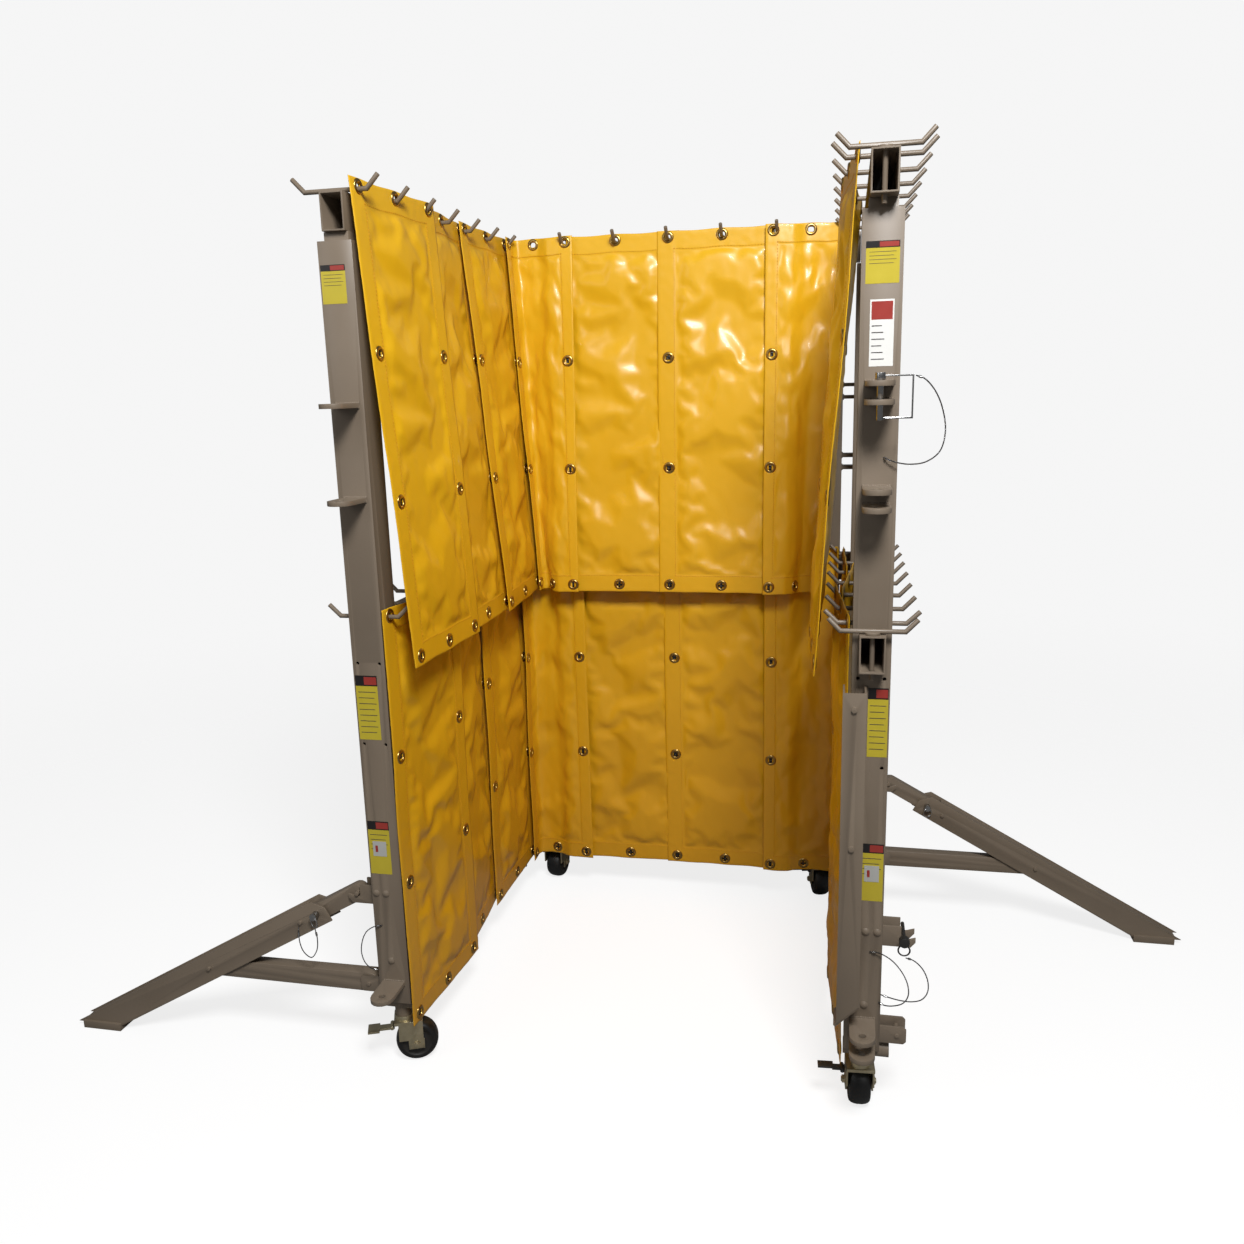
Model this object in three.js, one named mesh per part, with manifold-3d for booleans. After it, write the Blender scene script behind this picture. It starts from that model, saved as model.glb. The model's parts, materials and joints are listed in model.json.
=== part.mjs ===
// Three-panel mobile blanket screen: a back panel, two hinged wings, casters, folding outriggers and padded blankets.
// Millimetres, +Z up, the open side of the bay faces -Y.
import * as THREE from "three";
import Module from "manifold-3d";

const wasm = await Module();
wasm.setup();

// ---- Driving dimensions -------------------------------------------------------------------------------------------

const FRAME_HEIGHT = 2035; // floor to the tips of the top hooks
const RAIL_SPACING = 891; // top hooks to middle hooks
const BAY_WIDTH = 1088; // between the centre lines of the two wings
const WING_DEPTH = 992; // hinge axis to the centre of a wing's front post
const HOOK_PITCH = 152.4;
const HOOK_SPAN = 197; // tip to tip across the rail
const HOOK_RISE = 35; // rail top to hook tip
const HOOK_ROD = 10;
const RAIL_WIDTH = 50.8;
const RAIL_HEIGHT = 76.2;
const TUBE_WALL = 3.2;
const POST_WIDTH = 76.2;
const PIN_REACH = 68; // post face to hinge axis
const LUG_WIDTH = 54;
const LUG_THICKNESS = 10;
const LEG_WIDTH = 46;
const LEG_HEIGHT = 64;
const STRUT_HEIGHT = 48;
const STRUT_PIVOT_RISE = 33; // foot of a post to the strut's pivot
const LEG_SLOPE = 29.4; // degrees below level
const LINK_LENGTH = 178; // upper pivot to the first bolt of the leg
const UPPER_PIVOT_HEIGHT = 442; // floor to the outrigger's upper pivot
const WHEEL_DIAMETER = 102;
const WHEEL_WIDTH = 48;
const CASTER_TRAIL = 28;
const BLANKET_HEIGHT = 1020; // an upper blanket; the lower ones reach down to their own hem
const LOWER_HEM_RISE = 13.4; // top of a caster wheel to the lower blankets' hem
const BLANKET_THICKNESS = 8;
const BLANKET_MARGIN = 31; // grommet line to blanket edge
const GAP = 0.3;

// ---- Derived positions --------------------------------------------------------------------------------------------

const wingX = BAY_WIDTH / 2;
const postHalf = POST_WIDTH / 2;
const railHalf = RAIL_WIDTH / 2;
const topRailTop = FRAME_HEIGHT - HOOK_RISE;
const middleRailTop = topRailTop - RAIL_SPACING;
const middleRailLow = middleRailTop - RAIL_HEIGHT;
const postTop = topRailTop - RAIL_HEIGHT - 19;
const casterTop = WHEEL_DIAMETER + 20;
const postBottom = casterTop + 50;
const frontPostY = -WING_DEPTH;
const rearPostY = -(PIN_REACH + postHalf);
const backPostX = wingX - PIN_REACH - postHalf;
const railEndFromAxis = PIN_REACH - 40;
const frontFaceY = frontPostY - postHalf;
const hookRodLift = HOOK_ROD / 2 - 0.6;
const backHookShift = -14;
const firstHook = { left: frontFaceY + 25, right: frontFaceY + 57 };
const upperHinge = FRAME_HEIGHT - 460;
const middleHinge = FRAME_HEIGHT - 658;
const lowerHinge = postBottom + 54;
const strutWidth = LEG_WIDTH - 14;
const blanketHoleRadius = HOOK_ROD / 2 + 9;
const blanketRise = 22; // hook rod to a blanket's top edge
const lowerBlanketHeight = middleRailTop + hookRodLift + blanketRise - WHEEL_DIAMETER - LOWER_HEM_RISE;

// ---- Solid helpers ------------------------------------------------------------------------------------------------

function solid(geometry) {
  const source = geometry.index ? geometry.toNonIndexed() : geometry;
  const position = source.getAttribute("position").array;
  const welded = new Map();
  const vertices = [];
  const triangles = [];
  for (let i = 0; i < position.length; i += 3) {
    const corner = [position[i], position[i + 1], position[i + 2]];
    const key = corner.map((value) => Math.round(value * 1000)).join();
    if (!welded.has(key)) {
      welded.set(key, vertices.length / 3);
      vertices.push(...corner);
    }
    triangles.push(welded.get(key));
  }
  const kept = [];
  for (let i = 0; i < triangles.length; i += 3) {
    const [a, b, c] = triangles.slice(i, i + 3);
    if (a !== b && b !== c && a !== c) kept.push(a, b, c);
  }
  return new wasm.Manifold(
    new wasm.Mesh({
      numProp: 3,
      vertProperties: new Float32Array(vertices),
      triVerts: new Uint32Array(kept),
    }),
  );
}

function facesToSolid(corners) {
  const build = (list) => {
    const geometry = new THREE.BufferGeometry();
    geometry.setAttribute("position", new THREE.Float32BufferAttribute(list.flat(), 3));
    return solid(geometry);
  };
  const body = build(corners);
  return body.volume() > 0 ? body : build([...corners].reverse());
}

function join(...pieces) {
  return pieces.reduce((total, piece) => total.add(piece));
}

function cut(body, ...tools) {
  return tools.reduce((total, tool) => total.subtract(tool), body);
}

function box(x0, x1, y0, y1, z0, z1) {
  const geometry = new THREE.BoxGeometry(x1 - x0, y1 - y0, z1 - z0);
  return solid(geometry.translate((x0 + x1) / 2, (y0 + y1) / 2, (z0 + z1) / 2));
}

function rod(radius, from, to, sides = 16) {
  const start = new THREE.Vector3(...from);
  const end = new THREE.Vector3(...to);
  const along = end.clone().sub(start);
  const geometry = new THREE.CylinderGeometry(radius, radius, along.length(), sides);
  const turn = new THREE.Quaternion().setFromUnitVectors(
    new THREE.Vector3(0, 1, 0),
    along.clone().normalize(),
  );
  geometry.applyQuaternion(turn);
  return solid(geometry.translate(...start.add(end).multiplyScalar(0.5).toArray()));
}

function dome(radius, at, direction) {
  const along = new THREE.Vector3(...direction);
  const geometry = new THREE.SphereGeometry(radius, 10, 5);
  geometry.scale(1, 0.55, 1);
  geometry.applyQuaternion(
    new THREE.Quaternion().setFromUnitVectors(new THREE.Vector3(0, 1, 0), along),
  );
  return solid(geometry.translate(...at));
}

// An upright split ring, turned about the vertical through its centre.
function keyRing(radius, at, turn = 0) {
  const geometry = new THREE.TorusGeometry(radius, 1.8, 6, 20);
  return solid(geometry.rotateX(Math.PI / 2).rotateZ(turn).translate(...at));
}

// A round bar of one radius through corner points that lie in one plane, mitred at each corner.
function bentRod(points, radius, planeNormal, sides = 8) {
  const corners = points.map((point) => new THREE.Vector3(...point));
  const normal = new THREE.Vector3(...planeNormal);
  const along = corners.slice(1).map((corner, i) => corner.clone().sub(corners[i]).normalize());
  const rings = corners.map((corner, i) => {
    const before = along[Math.max(i - 1, 0)];
    const after = along[Math.min(i, along.length - 1)];
    const aside = before.clone().add(after).normalize().cross(normal);
    const stretch = radius / Math.sqrt((1 + before.dot(after)) / 2);
    return Array.from({ length: sides }, (_, k) => {
      const angle = ((k + 0.5) / sides) * Math.PI * 2;
      return corner
        .clone()
        .addScaledVector(aside, Math.cos(angle) * stretch)
        .addScaledVector(normal, Math.sin(angle) * radius)
        .toArray();
    });
  });
  const faces = [];
  for (let i = 1; i < rings.length; i += 1) {
    for (let k = 0; k < sides; k += 1) {
      const next = (k + 1) % sides;
      const [a, b, c, d] = [rings[i - 1][k], rings[i - 1][next], rings[i][next], rings[i][k]];
      faces.push(a, b, c, a, c, d);
    }
  }
  const last = rings.length - 1;
  for (let k = 1; k < sides - 1; k += 1) {
    faces.push(rings[0][0], rings[0][k + 1], rings[0][k]);
    faces.push(rings[last][0], rings[last][k], rings[last][k + 1]);
  }
  return facesToSolid(faces);
}

// A cord of even thickness on a smooth curve through its points.
function cordGeometry(points, diameter, steps) {
  const curve = new THREE.CatmullRomCurve3(
    points.map((point) => new THREE.Vector3(...point)),
    false,
    "centripetal",
  );
  const section = new THREE.Shape();
  for (let i = 0; i < 8; i += 1) {
    const angle = (i / 8) * Math.PI * 2;
    const x = (Math.cos(angle) * diameter) / 2;
    const y = (Math.sin(angle) * diameter) / 2;
    if (i === 0) section.moveTo(x, y);
    else section.lineTo(x, y);
  }
  section.closePath();
  return new THREE.ExtrudeGeometry(section, { steps, extrudePath: curve, bevelEnabled: false });
}

// A flat outline in two named axes, given thickness along the third.
function plate(outline, axes, from, to, holes = []) {
  const shape = new THREE.Shape(outline.map(([a, b]) => new THREE.Vector2(a, b)));
  holes.forEach(({ at, radius, sides = 16 }) => {
    const hole = new THREE.Path();
    for (let i = 0; i <= sides; i += 1) {
      const angle = (-i / sides) * Math.PI * 2;
      const x = at[0] + Math.cos(angle) * radius;
      const y = at[1] + Math.sin(angle) * radius;
      if (i === 0) hole.moveTo(x, y);
      else hole.lineTo(x, y);
    }
    shape.holes.push(hole);
  });
  const geometry = new THREE.ExtrudeGeometry(shape, { depth: to - from, bevelEnabled: false });
  geometry.translate(0, 0, from);
  const matrix = new THREE.Matrix4();
  if (axes === "xz") matrix.set(1, 0, 0, 0, 0, 0, -1, 0, 0, 1, 0, 0, 0, 0, 0, 1);
  if (axes === "yz") matrix.set(0, 0, 1, 0, 1, 0, 0, 0, 0, 1, 0, 0, 0, 0, 0, 1);
  geometry.applyMatrix4(matrix);
  return solid(geometry);
}

// ---- The exported group and its materials -------------------------------------------------------------------------

const screen = new THREE.Group();
screen.name = "welding_curtain_screen";

const finishes = {
  frame_paint: [0x8c8375, 0.5, 0.3],
  vinyl: [0xdca21c, 0.35, 0],
  tread: [0x1a1a1a, 0.7, 0],
  zinc: [0xb3a578, 0.35, 0.9],
  steel: [0xb9b9b9, 0.3, 1],
  cable: [0x77777a, 0.4, 0.9],
  dark_lever: [0x23211f, 0.6, 0.2],
};

function addMesh(name, finish, geometry) {
  const [color, roughness, metalness] = finishes[finish];
  const material = new THREE.MeshStandardMaterial({ color, roughness, metalness });
  material.name = finish;
  const mesh = new THREE.Mesh(geometry, material);
  mesh.name = name;
  screen.add(mesh);
}

function addPart(name, finish, body) {
  const mesh = body.getMesh();
  const geometry = new THREE.BufferGeometry();
  geometry.setAttribute("position", new THREE.BufferAttribute(mesh.vertProperties, 3));
  geometry.setIndex(new THREE.BufferAttribute(mesh.triVerts, 1));
  geometry.computeVertexNormals();
  addMesh(name, finish, geometry);
}

function mark(name, x, y, z) {
  const point = new THREE.Object3D();
  point.name = name;
  point.position.set(x, y, z);
  screen.add(point);
}

// ---- Frame pieces -------------------------------------------------------------------------------------------------

// A double-ended hook lying across a rail. across is a unit vector in plan.
function hook(x, y, railTop, across, span = HOOK_SPAN, lift = 0) {
  const z = railTop + hookRodLift + lift;
  const bend = span * 0.35;
  const tip = span / 2 - HOOK_ROD * 0.36;
  const tipZ = railTop + HOOK_RISE - HOOK_ROD * 0.36;
  const at = (offset, height) => [x + across[0] * offset, y + across[1] * offset, height];
  const points = [at(-tip, tipZ), at(-bend, z), at(bend, z), at(tip, tipZ)];
  return bentRod(points, HOOK_ROD / 2, [-across[1], across[0], 0]);
}

function hollowRail(alongX, from, to, offset, top) {
  const inner = railHalf - TUBE_WALL;
  const low = top - RAIL_HEIGHT;
  const skin = TUBE_WALL;
  if (alongX) {
    return cut(
      box(from, to, offset - railHalf, offset + railHalf, low, top),
      box(from - 1, to + 1, offset - inner, offset + inner, low + skin, top - skin),
    );
  }
  return cut(
    box(offset - railHalf, offset + railHalf, from, to, low, top),
    box(offset - inner, offset + inner, from - 1, to + 1, low + skin, top - skin),
  );
}

// A horizontal link plate with a rounded nose, reaching from a post face to the hinge axis and past it.
function lugPlate(x, y, direction, z) {
  const reach = PIN_REACH;
  const half = LUG_WIDTH / 2;
  const outline = [[-1, -half]];
  for (let i = 0; i <= 8; i += 1) {
    const angle = -Math.PI / 2 + (i / 8) * Math.PI;
    outline.push([reach + Math.cos(angle) * half, Math.sin(angle) * half]);
  }
  outline.push([-1, half]);
  const holes = [{ at: [reach, 0], radius: 8, sides: 10 }];
  const flat = plate(outline, "xy", z - LUG_THICKNESS / 2, z + LUG_THICKNESS / 2, holes);
  const angle = (Math.atan2(direction[1], direction[0]) * 180) / Math.PI;
  const start = [x + direction[0] * postHalf, y + direction[1] * postHalf];
  return flat.rotate([0, 0, angle]).translate([start[0], start[1], 0]);
}

function lugs(x, y, direction, paired) {
  const levels = [upperHinge, middleHinge, lowerHinge];
  const split = [17, 17, 21];
  return levels.flatMap((level, i) =>
    paired
      ? [lugPlate(x, y, direction, level - split[i]), lugPlate(x, y, direction, level + split[i])]
      : [lugPlate(x, y, direction, level)],
  );
}

// Outrigger pivots: u is measured outwards from the post's centre line.
const UPPER_PIVOT = { u: postHalf + 46.9, z: UPPER_PIVOT_HEIGHT };
const LOWER_PIVOT = { u: postHalf + 36.9, z: postBottom + STRUT_PIVOT_RISE };

// Two pairs of cheeks on a wing post's outer face: an open cradle for the link above and the strut pivot below.
function outriggerBrackets(x, y, side) {
  const cheekInner = strutWidth / 2 + 1;
  const cheekOuter = cheekInner + 5;
  const face = postHalf - 1;
  const { u, z } = UPPER_PIVOT;
  const cradle = [
    [face, z - 24],
    [u + 12, z - 24],
    [u + 22, z - 12],
    [u + 22, z - 2],
    [u + 8, z - 6.5],
    [u, z - 8],
    [u - 8, z - 4],
    [u - 8, z + 22],
    [face, z + 22],
  ];
  const lower = [
    [face, LOWER_PIVOT.z - 20],
    [LOWER_PIVOT.u + 14, LOWER_PIVOT.z - 20],
    [LOWER_PIVOT.u + 20, LOWER_PIVOT.z - 14],
    [LOWER_PIVOT.u + 20, LOWER_PIVOT.z + 14],
    [LOWER_PIVOT.u + 14, LOWER_PIVOT.z + 20],
    [face, LOWER_PIVOT.z + 20],
  ];
  const mirrored = (outline) => {
    const placed = outline.map(([a, b]) => [x + side * a, b]);
    return side < 0 ? placed.reverse() : placed;
  };
  const cheeks = [cradle, lower].flatMap((outline) => [
    plate(mirrored(outline), "xz", -(y + cheekOuter), -(y + cheekInner)),
    plate(mirrored(outline), "xz", -(y - cheekInner), -(y - cheekOuter)),
  ]);
  const pinX = x + side * LOWER_PIVOT.u;
  const pinReach = cheekOuter + 3;
  const pin = rod(
    5,
    [pinX, y - pinReach, LOWER_PIVOT.z],
    [pinX, y + pinReach, LOWER_PIVOT.z],
    12,
  );
  return [...cheeks, pin];
}

// Upright: a square tube, open below, with a neck under the top rail and a window for the middle rail.
function post(x, y, alongX, { through = true, braced = false, caster = true, outward = 1 } = {}) {
  const wall = 4.5;
  const inner = postHalf - wall;
  let body = cut(
    box(x - postHalf, x + postHalf, y - postHalf, y + postHalf, postBottom, postTop),
    box(x - inner, x + inner, y - inner, y + inner, postBottom + wall, postTop - wall),
    rod(4, [x - 20, y, postBottom - 1], [x - 20, y, postBottom + wall + 1], 8),
  );
  const neck = 27;
  body = join(
    body,
    box(x - neck, x + neck, y - neck, y + neck, postTop - 1, topRailTop - RAIL_HEIGHT - GAP),
  );
  if (through) {
    const reach = postHalf + 1;
    const slot = railHalf + GAP;
    const low = middleRailLow - GAP;
    const high = middleRailTop + GAP;
    body = alongX
      ? cut(body, box(x - reach, x + reach, y - slot, y + slot, low, high))
      : cut(body, box(x - slot, x + slot, y - reach, y + reach, low, high));
  }
  if (caster) {
    const inside = x - outward * (postHalf + 1);
    const outside = x + outward * (postHalf + 22);
    body = join(
      body,
      rod(18, [inside, y, postBottom - 16], [outside, y, postBottom - 16], 16),
      rod(20, [x, y, casterTop], [x, y, postBottom + 2], 16),
    );
  }
  if (braced) body = join(body, ...outriggerBrackets(x, y, outward));
  return body;
}

// ---- Casters ------------------------------------------------------------------------------------------------------

function caster(name, x, y, turn, leadingBrake) {
  const wheelRadius = WHEEL_DIAMETER / 2;
  const half = WHEEL_WIDTH / 2;
  const cheek = half + 3;
  const axleY = CASTER_TRAIL;
  const crown = WHEEL_DIAMETER + 3;
  const place = (body) => body.rotate([0, 0, turn]).translate([x, y, 0]);

  const fork = join(
    rod(22, [0, 0, crown + 5], [0, 0, casterTop - GAP], 20),
    box(-cheek - 4, cheek + 4, -24, axleY + 16, crown, crown + 7),
    ...[-1, 1].flatMap((side) => {
      const low = Math.min(side * cheek, side * (cheek + 4));
      return [
        box(low, low + 4, -14, axleY + 16, wheelRadius + 11, crown + 1),
        box(low, low + 4, axleY - 20, axleY + 18, wheelRadius - 13, wheelRadius + 12),
        rod(9.5, [side * (cheek + 3), axleY, wheelRadius], [side * (cheek + 10), axleY, wheelRadius], 6),
      ];
    }),
    rod(6, [-cheek - 12, axleY, wheelRadius], [cheek + 12, axleY, wheelRadius], 12),
  );
  addPart(name + "_fork", "zinc", place(fork));

  const profile = [
    [6.5, -half - 2],
    [16, -half - 2],
    [18, -half + 3],
    [wheelRadius - 10, -half],
    [wheelRadius - 4, -half + 3],
    [wheelRadius, -half * 0.4],
    [wheelRadius, half * 0.4],
    [wheelRadius - 4, half - 3],
    [wheelRadius - 10, half],
    [18, half - 3],
    [16, half + 2],
    [6.5, half + 2],
    [6.5, -half - 2],
  ].map(([r, h]) => new THREE.Vector2(r, h));
  const wheel = new THREE.LatheGeometry(profile, 20);
  wheel.rotateZ(Math.PI / 2);
  wheel.translate(0, axleY, wheelRadius);
  addPart(name + "_wheel", "tread", place(solid(wheel)));

  const side = cheek + 4 + GAP;
  const pivot = leadingBrake ? [0, -30, crown - 15] : [-side - 7.5, 0, crown - 12];
  const [leverX, leverY, leverZ] = pivot;
  const brake = leadingBrake
    ? join(
        box(-18, 18, leverY - 58, leverY - 30, leverZ - 6, leverZ - 1),
        box(-9, 9, leverY - 32, leverY + 5.5, leverZ - 6, leverZ),
        rod(5, [-14, leverY, leverZ], [14, leverY, leverZ], 10),
      )
    : join(
        box(leverX - 54, leverX - 20, -2, 20, leverZ + 3, leverZ + 7),
        box(leverX - 22, leverX + 6, 2, 16, leverZ - 3, leverZ + 3.5),
        rod(5, [leverX, -4, leverZ], [leverX, 22, leverZ], 10),
      );
  addPart(name + "_brake", "dark_lever", place(brake));

  const angle = (turn * Math.PI) / 180;
  const cos = Math.cos(angle);
  const sin = Math.sin(angle);
  const turnedPoint = (dx, dy) => [x + cos * dx - sin * dy, y + sin * dx + cos * dy];
  mark(name + "_kingpin", x, y, casterTop);
  mark(name + "_axle", ...turnedPoint(0, axleY), wheelRadius);
  mark(name + "_lever", ...turnedPoint(leverX, leverY), leverZ);
}

// ---- Outriggers ---------------------------------------------------------------------------------------------------

// Distances along the leg from its upper pivot.
const slope = (LEG_SLOPE * Math.PI) / 180;
const lockOffset = LINK_LENGTH - 50;
const legStart = LINK_LENGTH - 78;
const legJoint = LINK_LENGTH + 305;
const legEnd = (UPPER_PIVOT_HEIGHT - 13.4) / Math.sin(slope);

// Distance along the leg from the upper pivot, and height above its centre line, to a point beside the post.
function alongLeg(distance, lift) {
  return [
    UPPER_PIVOT.u + distance * Math.cos(slope) + lift * Math.sin(slope),
    UPPER_PIVOT.z - distance * Math.sin(slope) + lift * Math.cos(slope),
  ];
}

function legSolid(x, y, side) {
  const half = LEG_HEIGHT / 2;
  const wallInner = LEG_WIDTH / 2 - 4;
  const wallOuter = LEG_WIDTH / 2;
  const place = (outline) => {
    const placed = outline.map(([s, t]) => {
      const [u, z] = alongLeg(s, t);
      return [x + side * u, z];
    });
    return side < 0 ? placed.reverse() : placed;
  };
  const slab = (outline, low, high) => plate(place(outline), "xz", -(y + high), -(y + low));
  // The far end is cut level with the floor, so its slope follows the leg's own.
  const level = half * Math.tan(Math.PI / 2 - slope);
  const sideWall = [
    [legStart, -half],
    [legEnd - level, -half],
    [legEnd + level, half],
    [legStart + 26, half],
    [legStart, half - 26],
  ];
  const web = [
    [legStart + 60, half - 4],
    [legEnd + level * 0.78, half - 4],
    [legEnd + level * 0.7, half - 7],
    [legStart + 60, half - 7],
  ];
  const link = [
    [6, 20],
    [LINK_LENGTH + 4, 20],
    [LINK_LENGTH + 4, -20],
    [6, -20],
  ];
  const rounded = (s, t, radius, low, high) => {
    const outline = [];
    for (let i = 0; i < 14; i += 1) {
      const angle = -(i / 14) * Math.PI * 2;
      outline.push([s + Math.cos(angle) * radius, t + Math.sin(angle) * radius]);
    }
    return slab(outline, low, high);
  };
  const linkHalf = strutWidth / 2 - 2;
  const clear = (s, radius) => {
    const [u, z] = alongLeg(s, 0);
    return rod(radius, [x + side * u, y - 60, z], [x + side * u, y + 60, z], 12);
  };
  const bolt = (s, radius, reach) => {
    const [u, z] = alongLeg(s, 0);
    return rod(radius, [x + side * u, y - reach, z], [x + side * u, y + reach, z], 12);
  };
  const footTop = alongLeg(legEnd - level, -half)[1];
  const footU = alongLeg(legEnd, 0)[0];
  const body = join(
    slab(sideWall, wallInner, wallOuter),
    slab(sideWall, -wallOuter, -wallInner),
    slab(web, -wallInner - 1, wallInner + 1),
    slab(link, -linkHalf, linkHalf),
    rounded(6, 0, 20, -linkHalf, linkHalf),
    bolt(0, 5, strutWidth / 2 + 11),
    bolt(LINK_LENGTH, 5, wallOuter + 6),
    bolt(legJoint, 5, wallOuter + 6),
    box(
      Math.min(x + side * (footU - 62), x + side * (footU + 46)),
      Math.max(x + side * (footU - 62), x + side * (footU + 46)),
      y - LEG_WIDTH / 2 - 7,
      y + LEG_WIDTH / 2 + 7,
      0,
      Math.max(footTop, 0) + 6,
    ),
  );
  return cut(body, clear(lockOffset, 5.5));
}

function strutSolid(x, y, side) {
  const [mu, mz] = alongLeg(legJoint, 0);
  const half = STRUT_HEIGHT / 2;
  const dx = mu - LOWER_PIVOT.u;
  const dz = mz - LOWER_PIVOT.z;
  const length = Math.hypot(dx, dz);
  const tilt = Math.atan2(dz, dx);
  const outline = [];
  for (let i = 0; i <= 8; i += 1) {
    const angle = -Math.PI / 2 + (i / 8) * Math.PI;
    outline.push([length + Math.cos(angle) * (half - 2), Math.sin(angle) * (half - 2)]);
  }
  for (let i = 0; i <= 8; i += 1) {
    const angle = Math.PI / 2 + (i / 8) * Math.PI;
    outline.push([Math.cos(angle) * half, Math.sin(angle) * half]);
  }
  const placed = outline.map(([s, t]) => [
    x + side * (LOWER_PIVOT.u + s * Math.cos(tilt) - t * Math.sin(tilt)),
    LOWER_PIVOT.z + s * Math.sin(tilt) + t * Math.cos(tilt),
  ]);
  const body = plate(
    side < 0 ? placed.reverse() : placed,
    "xz",
    -(y + strutWidth / 2),
    -(y - strutWidth / 2),
  );
  const bore = (u, z) => rod(5.6, [x + side * u, y - 40, z], [x + side * u, y + 40, z], 12);
  return cut(body, bore(LOWER_PIVOT.u, LOWER_PIVOT.z), bore(mu, mz));
}

function outrigger(name, x, y, side) {
  addPart(name + "_leg", "frame_paint", legSolid(x, y, side));
  addPart(name + "_strut", "frame_paint", strutSolid(x, y, side));
  const [lu, lz] = alongLeg(lockOffset, 0);
  const px = x + side * lu;
  const ringY = y - LEG_WIDTH / 2 - 14;
  const pin = join(
    rod(4.8, [px, y - LEG_WIDTH / 2 - 16, lz], [px, y + LEG_WIDTH / 2 + 14, lz], 12),
    rod(9, [px, y - LEG_WIDTH / 2 - 18, lz], [px, y - LEG_WIDTH / 2 - 1, lz], 12),
    keyRing(13, [px, ringY, lz - 14], 0.5 * side),
  );
  addPart(name + "_lock_pin", "steel", pin);
  const [mu, mz] = alongLeg(legJoint, 0);
  mark(name + "_strut_pivot", x + side * LOWER_PIVOT.u, y, LOWER_PIVOT.z);
  mark(name + "_leg_pivot", x + side * mu, y, mz);
  mark(name + "_link_pivot", x + side * UPPER_PIVOT.u, y, UPPER_PIVOT.z);
  mark(name + "_lock", px, y, lz);
}

// ---- Blankets -----------------------------------------------------------------------------------------------------

// A hanging slab between a line in plan at its top and another at its bottom.
function blanket(topLine, bottomLine, topZ, height, holes) {
  const half = BLANKET_THICKNESS / 2;
  const sides = (line) =>
    line.map((point, i) => {
      const before = line[Math.max(i - 1, 0)];
      const after = line[Math.min(i + 1, line.length - 1)];
      const along = new THREE.Vector2(after[0] - before[0], after[1] - before[1]).normalize();
      return [
        [point[0] - along.y * half, point[1] + along.x * half],
        [point[0] + along.y * half, point[1] - along.x * half],
      ];
    });
  const atHeight = (line, z) => sides(line).map((pair) => pair.map(([x, y]) => [x, y, z]));
  const ring = atHeight(topLine, topZ);
  const low = atHeight(bottomLine, topZ - height);
  const faces = [];
  const quad = (a, b, c, d) => faces.push(a, b, c, a, c, d);
  for (let i = 1; i < ring.length; i += 1) {
    const [a0, b0] = ring[i - 1];
    const [a1, b1] = ring[i];
    const [c0, d0] = low[i - 1];
    const [c1, d1] = low[i];
    quad(b0, b1, a1, a0);
    quad(c0, c1, d1, d0);
    quad(a0, a1, c1, c0);
    quad(b0, d0, d1, b1);
  }
  const last = ring.length - 1;
  quad(ring[0][0], low[0][0], low[0][1], ring[0][1]);
  quad(ring[last][1], low[last][1], low[last][0], ring[last][0]);
  const bores = holes.map(([x, y, z, dx, dy]) => {
    return rod(blanketHoleRadius, [x - dx * 40, y - dy * 40, z], [x + dx * 40, y + dy * 40, z], 12);
  });
  return cut(facesToSolid(faces), ...bores);
}

// Blanket centre line to wing centre line: at the rail, beside a post, and where a blanket leans on the hook tips.
const layers = {
  near: railHalf + 8.6,
  nearInner: railHalf + 24.6,
  far: railHalf + 32.6,
  farInner: railHalf + 48.6,
};
const nearPost = postHalf + 9;
const swung = { outer: HOOK_SPAN / 2 + 17.5, inner: HOOK_SPAN / 2 + 33.5 };
const backLine = postHalf + 12;

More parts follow.
